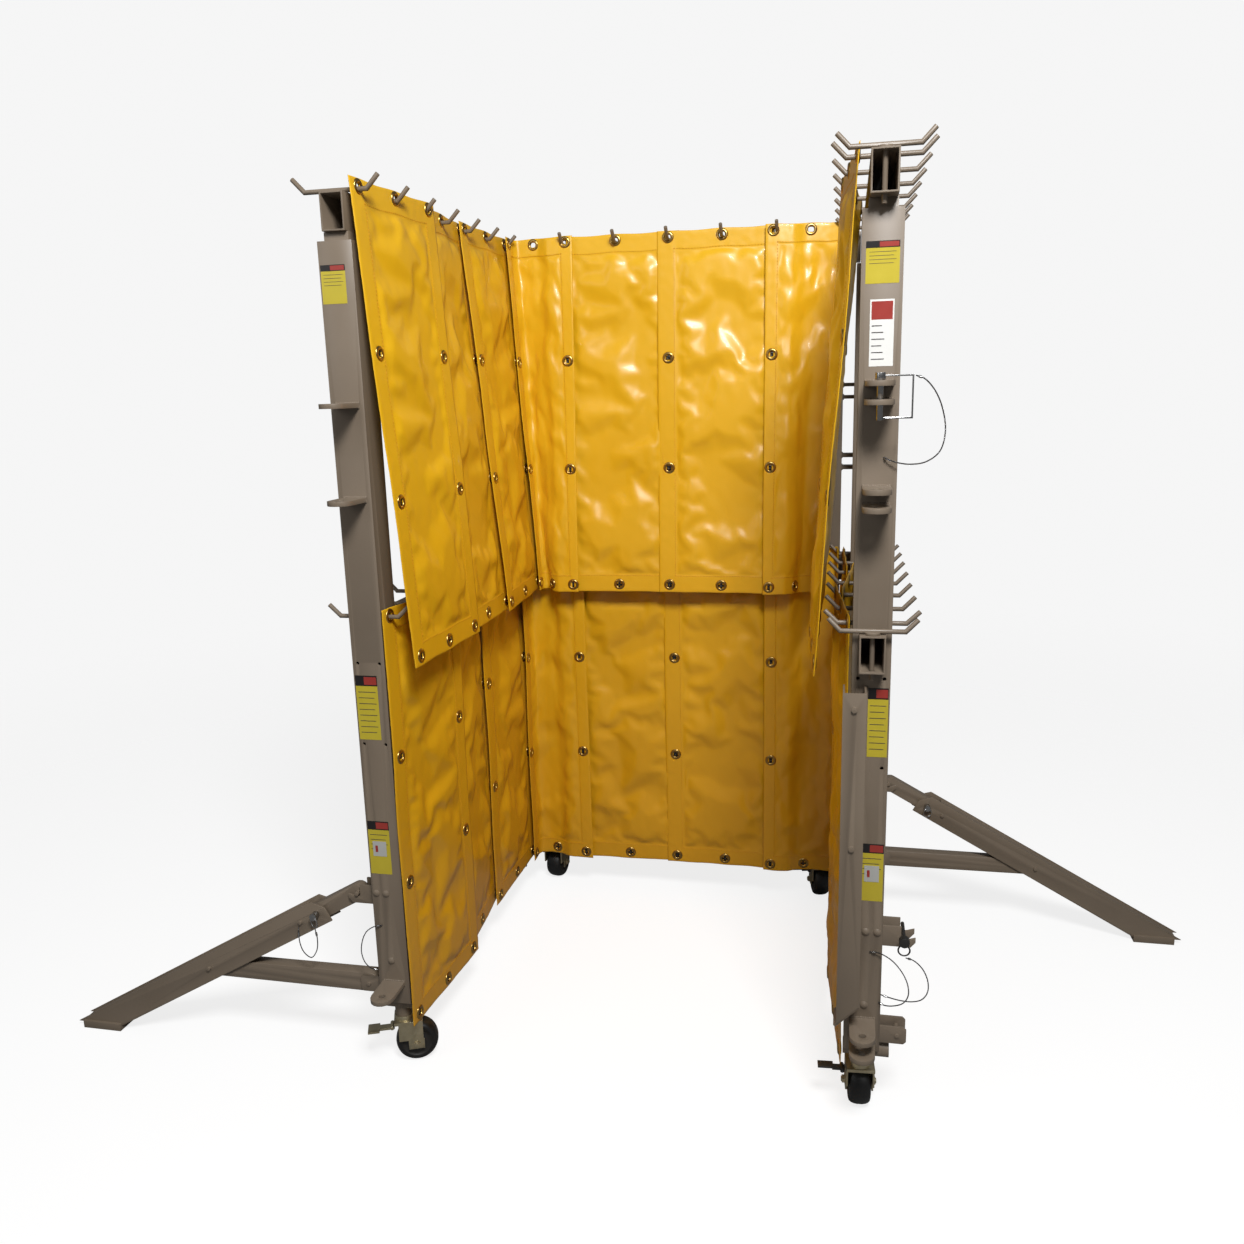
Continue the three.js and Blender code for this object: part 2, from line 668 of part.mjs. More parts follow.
// One row of blankets: three on each wing, a pair on the back and one round each corner.
function blanketRow(row, railTop, swings) {
  const rodZ = railTop + hookRodLift;
  const topZ = rodZ + blanketRise;
  const height = swings ? BLANKET_HEIGHT : lowerBlanketHeight;
  const offsets = [
    [nearPost, layers.farInner, swung.outer, swung.inner],
    [layers.far, layers.near, swung.outer, swung.outer],
    [layers.nearInner, layers.far, swung.inner, swung.outer],
  ];
  ["left", "right"].forEach((hand) => {
    const side = hand === "left" ? -1 : 1;
    const first = firstHook[hand];
    offsets.forEach(([frontOff, rearOff, frontSwing, rearSwing], k) => {
      const hooks = [0, 1, 2].map((i) => first + (2 * k + i) * HOOK_PITCH);
      const y0 = hooks[0] - BLANKET_MARGIN;
      const y1 = Math.min(hooks[2] + BLANKET_MARGIN, -backLine - 6);
      const at = (y, front, rear) => {
        const share = (y - hooks[0]) / (hooks[2] - hooks[0]);
        return [side * (wingX - (front + (rear - front) * share)), y];
      };
      const top = [at(y0, frontOff, rearOff), at(y1, frontOff, rearOff)];
      const low = swings ? [at(y0, frontSwing, rearSwing), at(y1, frontSwing, rearSwing)] : top;
      const holes = hooks.map((y) => [at(y, frontOff, rearOff)[0], y, rodZ + 4, 1, 0]);
      addPart(`${hand}_${row}_blanket_${k + 1}`, "vinyl", blanket(top, low, topZ, height, holes));
    });
    const wingHook = first + 6 * HOOK_PITCH;
    const backHook = 2 * HOOK_PITCH + side * backHookShift;
    const inner = wingX - layers.farInner;
    const topLine = [
      [inner, wingHook - BLANKET_MARGIN],
      [inner, wingHook],
      [inner, Math.min(wingHook + 27, -backLine)],
      [inner - 8, -backLine + 2],
      [inner - 40, -backLine + 4],
      [backHook + 76, -backLine],
      [backHook + 46, -backLine - 18],
      [backHook, -backLine - 20],
      [backHook - BLANKET_MARGIN, -backLine - 20],
    ];
    const lean = wingX - swung.inner;
    const lowLine = [
      [lean, -swung.outer - 6],
      [lean, -swung.outer + 4],
      [lean, -swung.outer + 14],
      [lean - 4, -swung.outer + 24],
      [lean - 14, -swung.outer + 30],
      [backHook + 66, -swung.outer + 24],
      [backHook + 52, -swung.outer - 6],
      [backHook + 30, -swung.outer - 22],
      [backHook - BLANKET_MARGIN, -swung.outer - 22],
    ];
    const lay = (line) => line.map(([x, y]) => [side * x, y]);
    const holes = [
      [side * inner, wingHook, rodZ + 4, 1, 0],
      [side * backHook, -backLine - 20, rodZ + 4, 0, 1],
    ];
    const low = swings ? lay(lowLine) : lay(topLine);
    addPart(`${hand}_${row}_corner_blanket`, "vinyl", blanket(lay(topLine), low, topZ, height, holes));
  });
  const backHooks = [-2, -1, 0, 1, 2].map((i) => backHookShift + i * HOOK_PITCH);
  const x0 = backHooks[0] - BLANKET_MARGIN;
  const x1 = backHooks[4] + BLANKET_MARGIN;
  const across = (y) => [
    [x0, y],
    [x1, y],
  ];
  const topLine = across(-backLine);
  const lowLine = swings ? across(-swung.outer) : topLine;
  const holes = backHooks.map((x) => [x, -backLine, rodZ + 4, 0, 1]);
  addPart(`back_${row}_blankets`, "vinyl", blanket(topLine, lowLine, topZ, height, holes));
}

// ---- Assembly: wings ----------------------------------------------------------------------------------------------

const hands = [
  { hand: "left", side: -1, frontPaired: false, rearPaired: true, overhang: 0 },
  { hand: "right", side: 1, frontPaired: true, rearPaired: false, overhang: 40 },
];

hands.forEach(({ hand, side, frontPaired, rearPaired, overhang }) => {
  const x = side * wingX;
  const first = firstHook[hand];
  const railFront = frontFaceY - overhang;
  const railRear = -railEndFromAxis;
  const hookYs = [0, 1, 2, 3, 4, 5, 6].map((i) => first + i * HOOK_PITCH);
  const within = (y, postY) => Math.abs(y - postY) < postHalf;
  let topRail = join(
    hollowRail(false, railFront, railRear, x, topRailTop),
    ...hookYs.map((y) => hook(x, y, topRailTop, [1, 0])),
  );
  const middleFront = overhang ? railFront : frontPostY + postHalf + GAP;
  let middleRail = join(
    hollowRail(false, middleFront, railRear, x, middleRailTop),
    ...hookYs
      .filter((y) => !within(y, frontPostY) && !within(y, rearPostY))
      .map((y) => hook(x, y, middleRailTop, [1, 0])),
  );
  // A middle hook that meets a post is fixed to the post, just clear of the rail.
  const hooksOnPost = (postY) =>
    hookYs
      .filter((y) => within(y, postY))
      .map((y) => hook(x, y, middleRailTop, [1, 0], HOOK_SPAN, 2));
  if (overhang) {
    const pinY = railFront + 20;
    const bore = (top) => rod(6, [x, pinY, top - RAIL_HEIGHT - 2], [x, pinY, top + 2], 12);
    topRail = cut(topRail, bore(topRailTop));
    middleRail = cut(middleRail, bore(middleRailTop));
    Object.entries({ top_pin_hook: topRailTop, middle_pin_hook: middleRailTop }).forEach(([name, top]) => {
      const pinned = join(
        hook(x, pinY, top, [1, 0], 180, 2 + GAP),
        rod(15, [x, pinY, top + GAP], [x, pinY, top + 5], 16),
        rod(5, [x, pinY, top - RAIL_HEIGHT - 16], [x, pinY, top + 4], 12),
      );
      addPart(name, "frame_paint", pinned);
    });
    mark("pin_hook_slide", x, pinY, topRailTop);
  }
  addPart(hand + "_top_rail", "frame_paint", topRail);
  addPart(hand + "_middle_rail", "frame_paint", middleRail);

  let front = join(
    post(x, frontPostY, false, { through: overhang > 0, braced: true, outward: side }),
    ...lugs(x, frontPostY, [0, -1], frontPaired),
    ...hooksOnPost(frontPostY),
    dome(9, [x + side * 3, frontFaceY, UPPER_PIVOT.z + 14], [0, -1, 0]),
    dome(9, [x + side * 27, frontFaceY, UPPER_PIVOT.z + 14], [0, -1, 0]),
    dome(9, [x + side * 3, frontFaceY, LOWER_PIVOT.z + 78], [0, -1, 0]),
  );
  front = cut(
    front,
    ...[middleRailTop - 96, middleRailTop - 285].flatMap((z) =>
      [-26, 26].map((dx) => rod(4, [x + dx, frontFaceY - 5, z], [x + dx, frontFaceY + 10, z], 8)),
    ),
  );
  addPart(hand + "_front_post", "frame_paint", front);
  const rear = join(
    post(x, rearPostY, false, { braced: true, caster: false, outward: side }),
    ...lugs(x, rearPostY, [0, 1], rearPaired),
    ...hooksOnPost(rearPostY),
  );
  addPart(hand + "_rear_post", "frame_paint", rear);
  mark(hand + "_hinge", x, 0, upperHinge);
  const rodTop = upperHinge + 34;
  const hingeRod = join(
    rod(7.2, [x, 0, lowerHinge - 192], [x, 0, rodTop], 14),
    rod(12, [x, 0, upperHinge + LUG_THICKNESS / 2 + 17 + GAP], [x, 0, rodTop - 2], 14),
    rod(4, [x - 28, 0, rodTop - 6], [x + 28, 0, rodTop - 6], 8),
  );
  addPart(hand + "_hinge_rod", "steel", hingeRod);
});

// ---- Assembly: back panel -----------------------------------------------------------------------------------------

const backHookXs = [-2, -1, 0, 1, 2].map((i) => backHookShift + i * HOOK_PITCH);
const backRailEnd = wingX - railEndFromAxis;
Object.entries({ back_top_rail: topRailTop, back_middle_rail: middleRailTop }).forEach(([name, top]) => {
  const rail = join(
    hollowRail(true, -backRailEnd, backRailEnd, 0, top),
    ...backHookXs.map((x) => hook(x, 0, top, [0, 1])),
  );
  addPart(name, "frame_paint", rail);
});
hands.forEach(({ hand, side }) => {
  const body = join(
    post(side * backPostX, 0, true, { outward: side }),
    ...lugs(side * backPostX, 0, [side, 0], side > 0),
  );
  addPart("back_" + hand + "_post", "frame_paint", body);
});

// ---- Assembly: casters, outriggers and the stowed leg ---------------------------------------------------------------

caster("front_left_caster", -wingX, frontPostY, -68, true);
caster("front_right_caster", wingX, frontPostY, 4, false);
caster("back_left_caster", -backPostX, 0, -8, false);
caster("back_right_caster", backPostX, 0, 12, false);

outrigger("left_outrigger", -wingX, frontPostY, -1);
outrigger("right_outrigger", wingX, rearPostY, 1);

// The right front outrigger's leg, unpinned and held flat against its post.
const stowX = wingX - LEG_WIDTH / 2 - 9;
const stowBack = frontFaceY - GAP - 0.4;
const stowTop = middleRailLow - 33;
const stowFoot = stowTop - 728;

function stowedLeg() {
  const half = LEG_WIDTH / 2;
  const y0 = stowBack - LEG_HEIGHT;
  const shell = cut(
    box(stowX - half, stowX + half, y0, stowBack, stowFoot, stowTop),
    box(stowX - half + 4, stowX + half - 4, y0 + 4, stowBack + 1, stowFoot - 1, stowTop + 1),
  );
  const mitre = plate(
    [
      [stowX - half - 2, stowFoot - 2],
      [stowX + half + 2, stowFoot - 2],
      [stowX + half + 2, stowFoot + 46],
    ],
    "xz",
    -stowBack - 2,
    -y0 + 2,
  );
  const sole = plate(
    [
      [stowX - half - 6, stowFoot - 4],
      [stowX - half - 2, stowFoot - 8],
      [stowX + half + 2, stowFoot + 42],
      [stowX + half - 2, stowFoot + 48],
    ],
    "xz",
    -stowBack + 2,
    -y0 - 2,
  );
  const bolts = [stowTop - 33, stowTop - 327].map((z) =>
    rod(6, [stowX, y0 - 5, z], [stowX, stowBack - 2, z], 12),
  );
  return join(cut(shell, mitre), sole, ...bolts);
}
addPart("stowed_leg", "frame_paint", stowedLeg());
mark("stow_slide", stowX, stowBack, stowTop);

// ---- Assembly: pins and lanyards ------------------------------------------------------------------------------------

const lugPinY = frontFaceY - PIN_REACH;
const bailTop = upperHinge + 17 + LUG_THICKNESS / 2 + 8;
const bailLow = upperHinge - 17 - LUG_THICKNESS / 2 - 28;
const bailPin = join(
  rod(6, [wingX, lugPinY, bailLow], [wingX, lugPinY, bailTop], 12),
  rod(9.5, [wingX, lugPinY, bailTop - 8 + GAP], [wingX, lugPinY, bailTop + 6], 12),
  bentRod(
    [
      [wingX, lugPinY, bailTop],
      [wingX + 58, lugPinY, bailTop],
      [wingX + 58, lugPinY, bailLow + 4],
      [wingX, lugPinY, bailLow + 4],
    ],
    1.8,
    [0, 1, 0],
    6,
  ),
);
addPart("bail_pin", "steel", bailPin);
mark("bail_slide", wingX, lugPinY, bailTop);

const bracketX = wingX + UPPER_PIVOT.u - 3;
const bracketZ = UPPER_PIVOT.z + 4;
const bracketPin = join(
  rod(4, [bracketX, frontPostY - 44, bracketZ], [bracketX, frontPostY + 30, bracketZ], 12),
  rod(11, [bracketX, frontPostY - 58, bracketZ], [bracketX, frontPostY - 42, bracketZ], 12),
  keyRing(12, [bracketX, frontPostY - 50, bracketZ - 20]),
);
addPart("bracket_pin", "dark_lever", bracketPin);

// Steel lanyards, each on one smooth curve through points measured from what it hangs from.
const LANYARD = 2.6;
const [lockU, lockZ] = alongLeg(lockOffset, 0);
const lanyards = [
  {
    name: "bail_lanyard",
    from: [wingX, lugPinY, bailTop],
    points: [
      [62.6, 0.1, -1],
      [78, 1.1, -7],
      [98, 4.1, -30],
      [113, 10.1, -65],
      [119, 18.1, -105],
      [111, 28.1, -140],
      [88, 38.1, -159],
      [61, 48.1, -164],
      [36, 55.1, -161],
      [19, 60.1, -155],
      [12, 66.1, -152],
    ],
  },
  {
    name: "bracket_lanyard",
    from: [bracketX, frontPostY, bracketZ],
    points: [
      [4, -50, -37],
      [19, -48, -42],
      [38, -44, -61],
      [51, -38, -91],
      [53, -30, -124],
      [42, -20, -150],
      [22, -12, -162],
      [-2, -6, -165],
      [-24, -2, -163],
      [-42, 0, -159],
    ],
  },
  {
    name: "left_lock_lanyard",
    from: [-wingX - lockU, frontPostY - LEG_WIDTH / 2 - 14, lockZ],
    points: [
      [1.5, 0, -31.7],
      [5.5, -1, -57.2],
      [1.5, -2, -87.2],
      [-14.5, -2, -107.2],
      [-33.5, -1, -95.2],
      [-43.5, 1, -69.2],
      [-44.5, 4, -33.2],
    ],
  },
  {
    name: "right_foot_lanyard",
    from: [wingX, frontFaceY, LOWER_PIVOT.z],
    points: [
      [12, -1.9, 206],
      [31, -7.9, 208],
      [56, -11.9, 197],
      [78, -11.9, 172],
      [92, -9.9, 141],
      [94, -7.9, 113],
      [84, -6.9, 94],
      [64, -5.9, 85],
      [46, -4.9, 84],
      [33, -1.9, 88],
    ],
  },
  {
    name: "left_foot_lanyard",
    from: [-wingX, frontFaceY, LOWER_PIVOT.z],
    points: [
      [-18, -1.9, 170],
      [-36, -7.9, 168],
      [-56, -9.9, 154],
      [-69, -9.9, 127],
      [-73, -9.9, 97],
      [-65, -8.9, 70],
      [-51, -5.9, 56],
      [-36, -1.9, 52],
    ],
  },
];
lanyards.forEach(({ name, from, points }) => {
  const placed = points.map((point) => point.map((value, axis) => value + from[axis]));
  const length = placed.slice(1).reduce((sum, point, i) => {
    return sum + Math.hypot(...point.map((value, axis) => value - placed[i][axis]));
  }, 0);
  const steps = Math.round(length / (LANYARD * 3));
  addMesh(name, "cable", cordGeometry(placed, LANYARD, steps));
});

blanketRow("upper", topRailTop, true);
blanketRow("lower", middleRailTop, false);

// ---- Origin: middle of the floor footprint ------------------------------------------------------------------------

screen.updateMatrixWorld(true);
const bounds = new THREE.Box3().setFromObject(screen);
const middle = bounds.getCenter(new THREE.Vector3());
screen.children.forEach((child) => {
  child.position.x -= middle.x;
  child.position.y -= middle.y;
  child.position.z -= bounds.min.z;
});

export default screen;
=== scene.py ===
# %% [markdown]
# A three-sided screen on wheels: painted steel frame, yellow padded blankets on hooks, and folding
# outriggers. The measured frame is loaded first, and every visible piece is then built around it or in
# place of a plain solid.
# %% Load the measured frame
import bpy
import bmesh
import json
import math
from mathutils import Matrix, Vector, noise


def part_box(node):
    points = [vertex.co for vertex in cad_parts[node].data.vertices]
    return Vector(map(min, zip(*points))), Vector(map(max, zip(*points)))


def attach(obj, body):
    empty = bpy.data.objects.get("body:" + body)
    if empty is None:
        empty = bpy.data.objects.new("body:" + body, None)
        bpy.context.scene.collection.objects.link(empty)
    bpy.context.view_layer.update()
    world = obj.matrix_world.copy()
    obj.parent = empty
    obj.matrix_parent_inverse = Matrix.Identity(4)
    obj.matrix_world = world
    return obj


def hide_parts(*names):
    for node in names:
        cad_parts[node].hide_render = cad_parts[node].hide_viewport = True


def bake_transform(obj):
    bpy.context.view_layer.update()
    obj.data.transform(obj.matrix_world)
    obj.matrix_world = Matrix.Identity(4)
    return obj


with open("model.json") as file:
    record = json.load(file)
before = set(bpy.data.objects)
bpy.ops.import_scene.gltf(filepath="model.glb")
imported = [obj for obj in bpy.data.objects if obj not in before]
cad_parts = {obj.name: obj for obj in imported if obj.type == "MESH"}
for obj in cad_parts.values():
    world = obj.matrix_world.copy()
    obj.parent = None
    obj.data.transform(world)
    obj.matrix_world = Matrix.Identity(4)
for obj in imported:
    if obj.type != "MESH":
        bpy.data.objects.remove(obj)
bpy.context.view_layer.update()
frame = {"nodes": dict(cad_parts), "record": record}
NODES = frame["nodes"]
BODY_OF = {node: body for body, nodes in frame["record"]["behaviour"]["bodies"].items() for node in nodes}

# %% [markdown]
# The camera stands in front of the open bay, a little above the blankets' middle, and looks slightly down
# and left. Its place and lens come from matching hook tips, rail ends, posts and feet. The match is good
# to about 15 mm on the whole, and to about 70 mm at the right outrigger's foot.
# %% Camera
YAW, PITCH, ROLL = 0.21244, 0.21838, -0.02649
LENS_MM = 30.01543
STANDPOINT = (0.481, -2.5826, 1.5887)
forward = Vector((-math.sin(YAW) * math.cos(PITCH), math.cos(YAW) * math.cos(PITCH), -math.sin(PITCH)))
level = Vector((math.cos(YAW), math.sin(YAW), 0))
upward = level.cross(forward)
aside = level * math.cos(ROLL) + upward * math.sin(ROLL)
above = upward * math.cos(ROLL) - level * math.sin(ROLL)
lens = bpy.data.cameras.new("camera")
lens.lens = LENS_MM
camera = bpy.data.objects.new("camera", lens)
camera.matrix_world = Matrix((aside, above, -forward)).transposed().to_4x4()
camera.location = STANDPOINT
bpy.context.scene.collection.objects.link(camera)
bpy.context.scene.camera = camera

# %% [markdown]
# Small helpers come next: one that puts a mesh in the scene, one that turns sRGB hex into linear colour,
# and one that adds a shader or geometry node with its settings and links in a single call.
# %% Helpers
def linear(hex_colour):
    channels = [int(hex_colour[i : i + 2], 16) / 255 for i in (1, 3, 5)]
    return [c / 12.92 if c <= 0.04045 else ((c + 0.055) / 1.055) ** 2.4 for c in channels] + [1]


def add_node(tree, kind, settings=None, **inputs):
    made = tree.nodes.new(kind)
    for key, value in (settings or {}).items():
        setattr(made, key, value)
    for key, value in inputs.items():
        socket = made.inputs[
            int(key[1:]) if key[0] == "_" and key[1:].isdigit() else key.replace("_", " ")
        ]
        if isinstance(value, bpy.types.NodeSocket):
            tree.links.new(value, socket)
        else:
            socket.default_value = value
    return made


def put(name, mesh, material=None):
    piece = bpy.data.objects.new(name, mesh)
    bpy.context.scene.collection.objects.link(piece)
    if material:
        mesh.materials.clear()
        mesh.materials.append(material)
    return piece


def smooth_by_angle(mesh, degrees=40):
    shell = bmesh.new()
    shell.from_mesh(mesh)
    for face in shell.faces:
        face.smooth = True
    for edge in shell.edges:
        edge.smooth = len(edge.link_faces) == 2 and edge.calc_face_angle(4) < math.radians(degrees)
    shell.to_mesh(mesh)
    shell.free()


def plain_mesh(piece, name, material):
    """The evaluated piece as a new object with no modifiers."""
    depsgraph = bpy.context.evaluated_depsgraph_get()
    mesh = bpy.data.meshes.new_from_object(piece.evaluated_get(depsgraph))
    old = piece.data
    bpy.data.objects.remove(piece)
    if old.users == 0:
        bpy.data.meshes.remove(old)
    return put(name, mesh, material)


# %% [markdown]
# Materials start from what each thing is made of. A surface shader takes a base colour that drifts a
# little, a roughness that drifts with it, and a bump worked out from a real grain size in millimetres.
# %% A maker of layered materials
def surface(
    name, dark, light, roughness, metallic=0.0, coat=0.0, patch_mm=60, grain_mm=1.5, bump=0.1, worn=None,
    ior=1.5
):
    material = bpy.data.materials.new(name)
    material.use_nodes = True
    tree = material.node_tree
    tree.nodes.clear()
    place = add_node(tree, "ShaderNodeTexCoord").outputs["Object"]
    patches = add_node(
        tree, "ShaderNodeTexNoise", Vector=place, Scale=1000 / patch_mm, Detail=4.0, Roughness=0.6
    )
    colour = add_node(tree, "ShaderNodeMix", {"data_type": "RGBA"}, Factor=patches.outputs["Fac"])
    colour.inputs["A"].default_value = linear(dark)
    colour.inputs["B"].default_value = linear(light)
    out = colour.outputs["Result"]
    if worn:
        scuffs = add_node(
            tree, "ShaderNodeTexNoise", Vector=place, Scale=1000 / 22, Detail=8.0, Roughness=0.75
        )
        few = add_node(tree, "ShaderNodeMapRange", Value=scuffs.outputs["Fac"])
        few.inputs["From Min"].default_value = 0.66
        few.inputs["From Max"].default_value = 0.72
        mixed = add_node(
            tree, "ShaderNodeMix", {"data_type": "RGBA"}, Factor=few.outputs["Result"], A=out
        )
        mixed.inputs["B"].default_value = linear(worn)
        out = mixed.outputs["Result"]
    gloss = add_node(tree, "ShaderNodeMapRange", Value=patches.outputs["Fac"])
    gloss.inputs["To Min"].default_value = max(roughness - 0.07, 0.03)
    gloss.inputs["To Max"].default_value = roughness + 0.07
    grain = add_node(tree, "ShaderNodeTexNoise", Vector=place, Scale=1000 / grain_mm, Detail=2.0)
    raised = add_node(tree, "ShaderNodeBump", Height=grain.outputs["Fac"], Strength=bump, Distance=0.0005)
    shader = add_node(
        tree, "ShaderNodeBsdfPrincipled", Base_Color=out, Roughness=gloss.outputs["Result"],
        Normal=raised.outputs["Normal"], Metallic=metallic, IOR=ior, Coat_Weight=coat,
    )
    add_node(tree, "ShaderNodeOutputMaterial", Surface=shader.outputs["BSDF"])
    return material


# Alkyd enamel sprayed on steel tube: satin, grey-taupe, with faint orange peel and a few rubbed spots.
enamel = surface(
    "satin_enamel_on_steel", "#706354", "#7d7061", 0.42, patch_mm=180, grain_mm=2.5, bump=0.12,
    worn="#655a4d"
)
# Vinyl-coated scrim: yellow, glossy, with a fine cloth grain under the coating and long colour drift.
vinyl = surface(
    "coated_vinyl_cloth", "#d9a614", "#e6b51e", 0.36, coat=0.12, patch_mm=240, grain_mm=1.6, bump=0.10
)
# Painted shade: the vinyl's colour turns a darker amber towards the floor, standing in for the shade and
# yellow-on-yellow bounce light low in the bay.
vinyl_tree = vinyl.node_tree
height = add_node(
    vinyl_tree, "ShaderNodeSeparateXYZ",
    Vector=add_node(vinyl_tree, "ShaderNodeTexCoord").outputs["Object"]
)
painted_shade_to_floor = add_node(vinyl_tree, "ShaderNodeMapRange", Value=height.outputs["Z"])
for end, value in {"From Min": 1.5, "From Max": 0.1, "To Min": 0.0, "To Max": 0.5}.items():
    painted_shade_to_floor.inputs[end].default_value = value
vinyl_shader = next(n for n in vinyl_tree.nodes if n.type == "BSDF_PRINCIPLED")
unshaded_vinyl_colour = vinyl_shader.inputs["Base Color"].links[0].from_socket
amber = add_node(
    vinyl_tree, "ShaderNodeMix", {"data_type": "RGBA"}, Factor=painted_shade_to_floor.outputs["Result"], A=unshaded_vinyl_colour
)
# Painted shade: the darker amber that the vinyl takes near the floor.
amber.inputs["B"].default_value = linear("#bd7a0c")
vinyl_tree.links.new(amber.outputs["Result"], vinyl_shader.inputs["Base Color"])
# Bonded nylon thread of the seams, a shade deeper than the vinyl.
thread = surface("bonded_nylon_thread", "#c98a10", "#e0a21a", 0.6, grain_mm=0.8, bump=0.3)
# Nickel-plated brass eyelets, dulled by handling.
eyelet = surface(
    "nickel_plated_brass", "#8d7038", "#c7a665", 0.30, metallic=1.0, patch_mm=9, grain_mm=0.6, bump=0.1
)
# Zinc plate with yellow passivation on pressed steel.
zinc = surface(
    "yellow_zinc_plate", "#a89b7c", "#cfc6a8", 0.32, metallic=0.9, patch_mm=14, grain_mm=0.9, bump=0.15
)
# Bright drawn steel for pins and rings.
bright = surface(
    "drawn_steel", "#8f8f8f", "#c4c4c4", 0.25, metallic=1.0, patch_mm=10, grain_mm=0.6, bump=0.1
)
# Moulded rubber tyre: near black and satin.
rubber = surface("moulded_rubber", "#0a0a0a", "#151515", 0.45, patch_mm=25, grain_mm=0.9, bump=0.2)
# Black enamel on the brake levers and the ring-headed pin.
black = surface("black_enamel", "#1a1917", "#2a2826", 0.45, patch_mm=20, grain_mm=1.0, bump=0.15)
# Printed polyester labels, plain fields of colour under a clear film.
label_black = surface("label_black_film", "#151313", "#1f1c1c", 0.35, patch_mm=30, bump=0.0)
label_red = surface("label_red_film", "#8f2f28", "#9c3830", 0.35, patch_mm=30, bump=0.0)
label_yellow = surface("label_yellow_film", "#b3a22c", "#c0ae34", 0.35, patch_mm=30, bump=0.0)
label_white = surface("label_white_film", "#d8d8d4", "#e4e4e0", 0.35, patch_mm=30, bump=0.0)
label_grey = surface("label_grey_film", "#a7a7a2", "#b4b4b0", 0.35, patch_mm=30, bump=0.0)
label_ink = surface("label_ink", "#3a3636", "#4a4545", 0.4, patch_mm=30, bump=0.0)

# %% [markdown]
# Wire rope is strands twisted round each other. On a rope this thin the twist shows only as slanting
# bands, so a wave pattern runs along the rope's own length coordinate.
# %% Wire rope
rope = surface(
    "galvanised_wire_rope", "#5c5c5e", "#9a9a9c", 0.35, metallic=0.9, patch_mm=6, grain_mm=0.8, bump=0.5
)
twist_tree = rope.node_tree
along = add_node(twist_tree, "ShaderNodeTexCoord").outputs["UV"]
turned = add_node(twist_tree, "ShaderNodeMapping", Vector=along)
turned.inputs["Scale"].default_value = (1.0, 1.0, 1.0)
turned.inputs["Rotation"].default_value = (0, 0, math.radians(30))
bands = add_node(
    twist_tree, "ShaderNodeTexWave", Vector=turned.outputs["Vector"], Scale=14.0, Distortion=0.5
)
twisted = add_node(
    twist_tree, "ShaderNodeBump", Height=bands.outputs["Fac"], Strength=0.8, Distance=0.001
)
rope_shader = next(n for n in twist_tree.nodes if n.type == "BSDF_PRINCIPLED")
twist_tree.links.new(twisted.outputs["Normal"], rope_shader.inputs["Normal"])

# %% [markdown]
# Five short lanyards keep the loose pins with the frame. Each is a stiff steel rope in one loose loop, so
# it is a curve with a round section through the same points as its solid, and it carries a crimped sleeve
# near each end.
# %% Lanyards
LANYARD = 0.0026
SLEEVE_OVER_ROPE = 0.95
LOOPS = {
    "bail_lanyard": [
        (0.6066, -0.5846, 1.6040),
        (0.6220, -0.5836, 1.5980),
        (0.6420, -0.5806, 1.5750),
        (0.6570, -0.5746, 1.5400),
        (0.6630, -0.5666, 1.5000),
        (0.6550, -0.5566, 1.4650),
        (0.6320, -0.5466, 1.4460),
        (0.6050, -0.5366, 1.4410),
        (0.5800, -0.5296, 1.4440),
        (0.5630, -0.5246, 1.4500),
        (0.5560, -0.5186, 1.4530),
    ],
    "bracket_lanyard": [
        (0.6300, -0.5286, 0.4090),
        (0.6450, -0.5266, 0.4040),
        (0.6640, -0.5226, 0.3850),
        (0.6770, -0.5166, 0.3550),
        (0.6790, -0.5086, 0.3220),
        (0.6680, -0.4986, 0.2960),
        (0.6480, -0.4906, 0.2840),
        (0.6240, -0.4846, 0.2810),
        (0.6020, -0.4806, 0.2830),
        (0.5840, -0.4786, 0.2870),
    ],
    "left_lock_lanyard": [
        (-0.7390, -0.5156, 0.3475),
        (-0.7350, -0.5166, 0.3220),
        (-0.7390, -0.5176, 0.2920),
        (-0.7550, -0.5176, 0.2720),
        (-0.7740, -0.5166, 0.2840),
        (-0.7840, -0.5146, 0.3100),
        (-0.7850, -0.5116, 0.3460),
    ],
    "right_foot_lanyard": [
        (0.5560, -0.5186, 0.4110),
        (0.5750, -0.5246, 0.4130),
        (0.6000, -0.5286, 0.4020),
        (0.6220, -0.5286, 0.3770),
        (0.6360, -0.5266, 0.3460),
        (0.6380, -0.5246, 0.3180),
        (0.6280, -0.5236, 0.2990),
        (0.6080, -0.5226, 0.2900),
        (0.5900, -0.5216, 0.2890),
        (0.5770, -0.5186, 0.2930),
    ],
    "left_foot_lanyard": [
        (-0.5620, -0.5186, 0.3750),
        (-0.5800, -0.5246, 0.3730),
        (-0.6000, -0.5266, 0.3590),
        (-0.6130, -0.5266, 0.3320),
        (-0.6170, -0.5266, 0.3020),
        (-0.6090, -0.5256, 0.2750),
        (-0.5950, -0.5226, 0.2610),
        (-0.5800, -0.5186, 0.2570),
    ],
}


def tube_along(name, points, radius, material, sides=8):
    line = bpy.data.curves.new(name, "CURVE")
    line.dimensions = "3D"
    line.bevel_depth = radius
    line.bevel_resolution = sides // 4
    line.use_fill_caps = True
    spline = line.splines.new("POLY")
    spline.points.add(len(points) - 1)
    for point, at in zip(spline.points, points):
        point.co = (*at, 1)
    line.materials.append(material)
    piece = bpy.data.objects.new(name, line)
    bpy.context.scene.collection.objects.link(piece)
    return piece


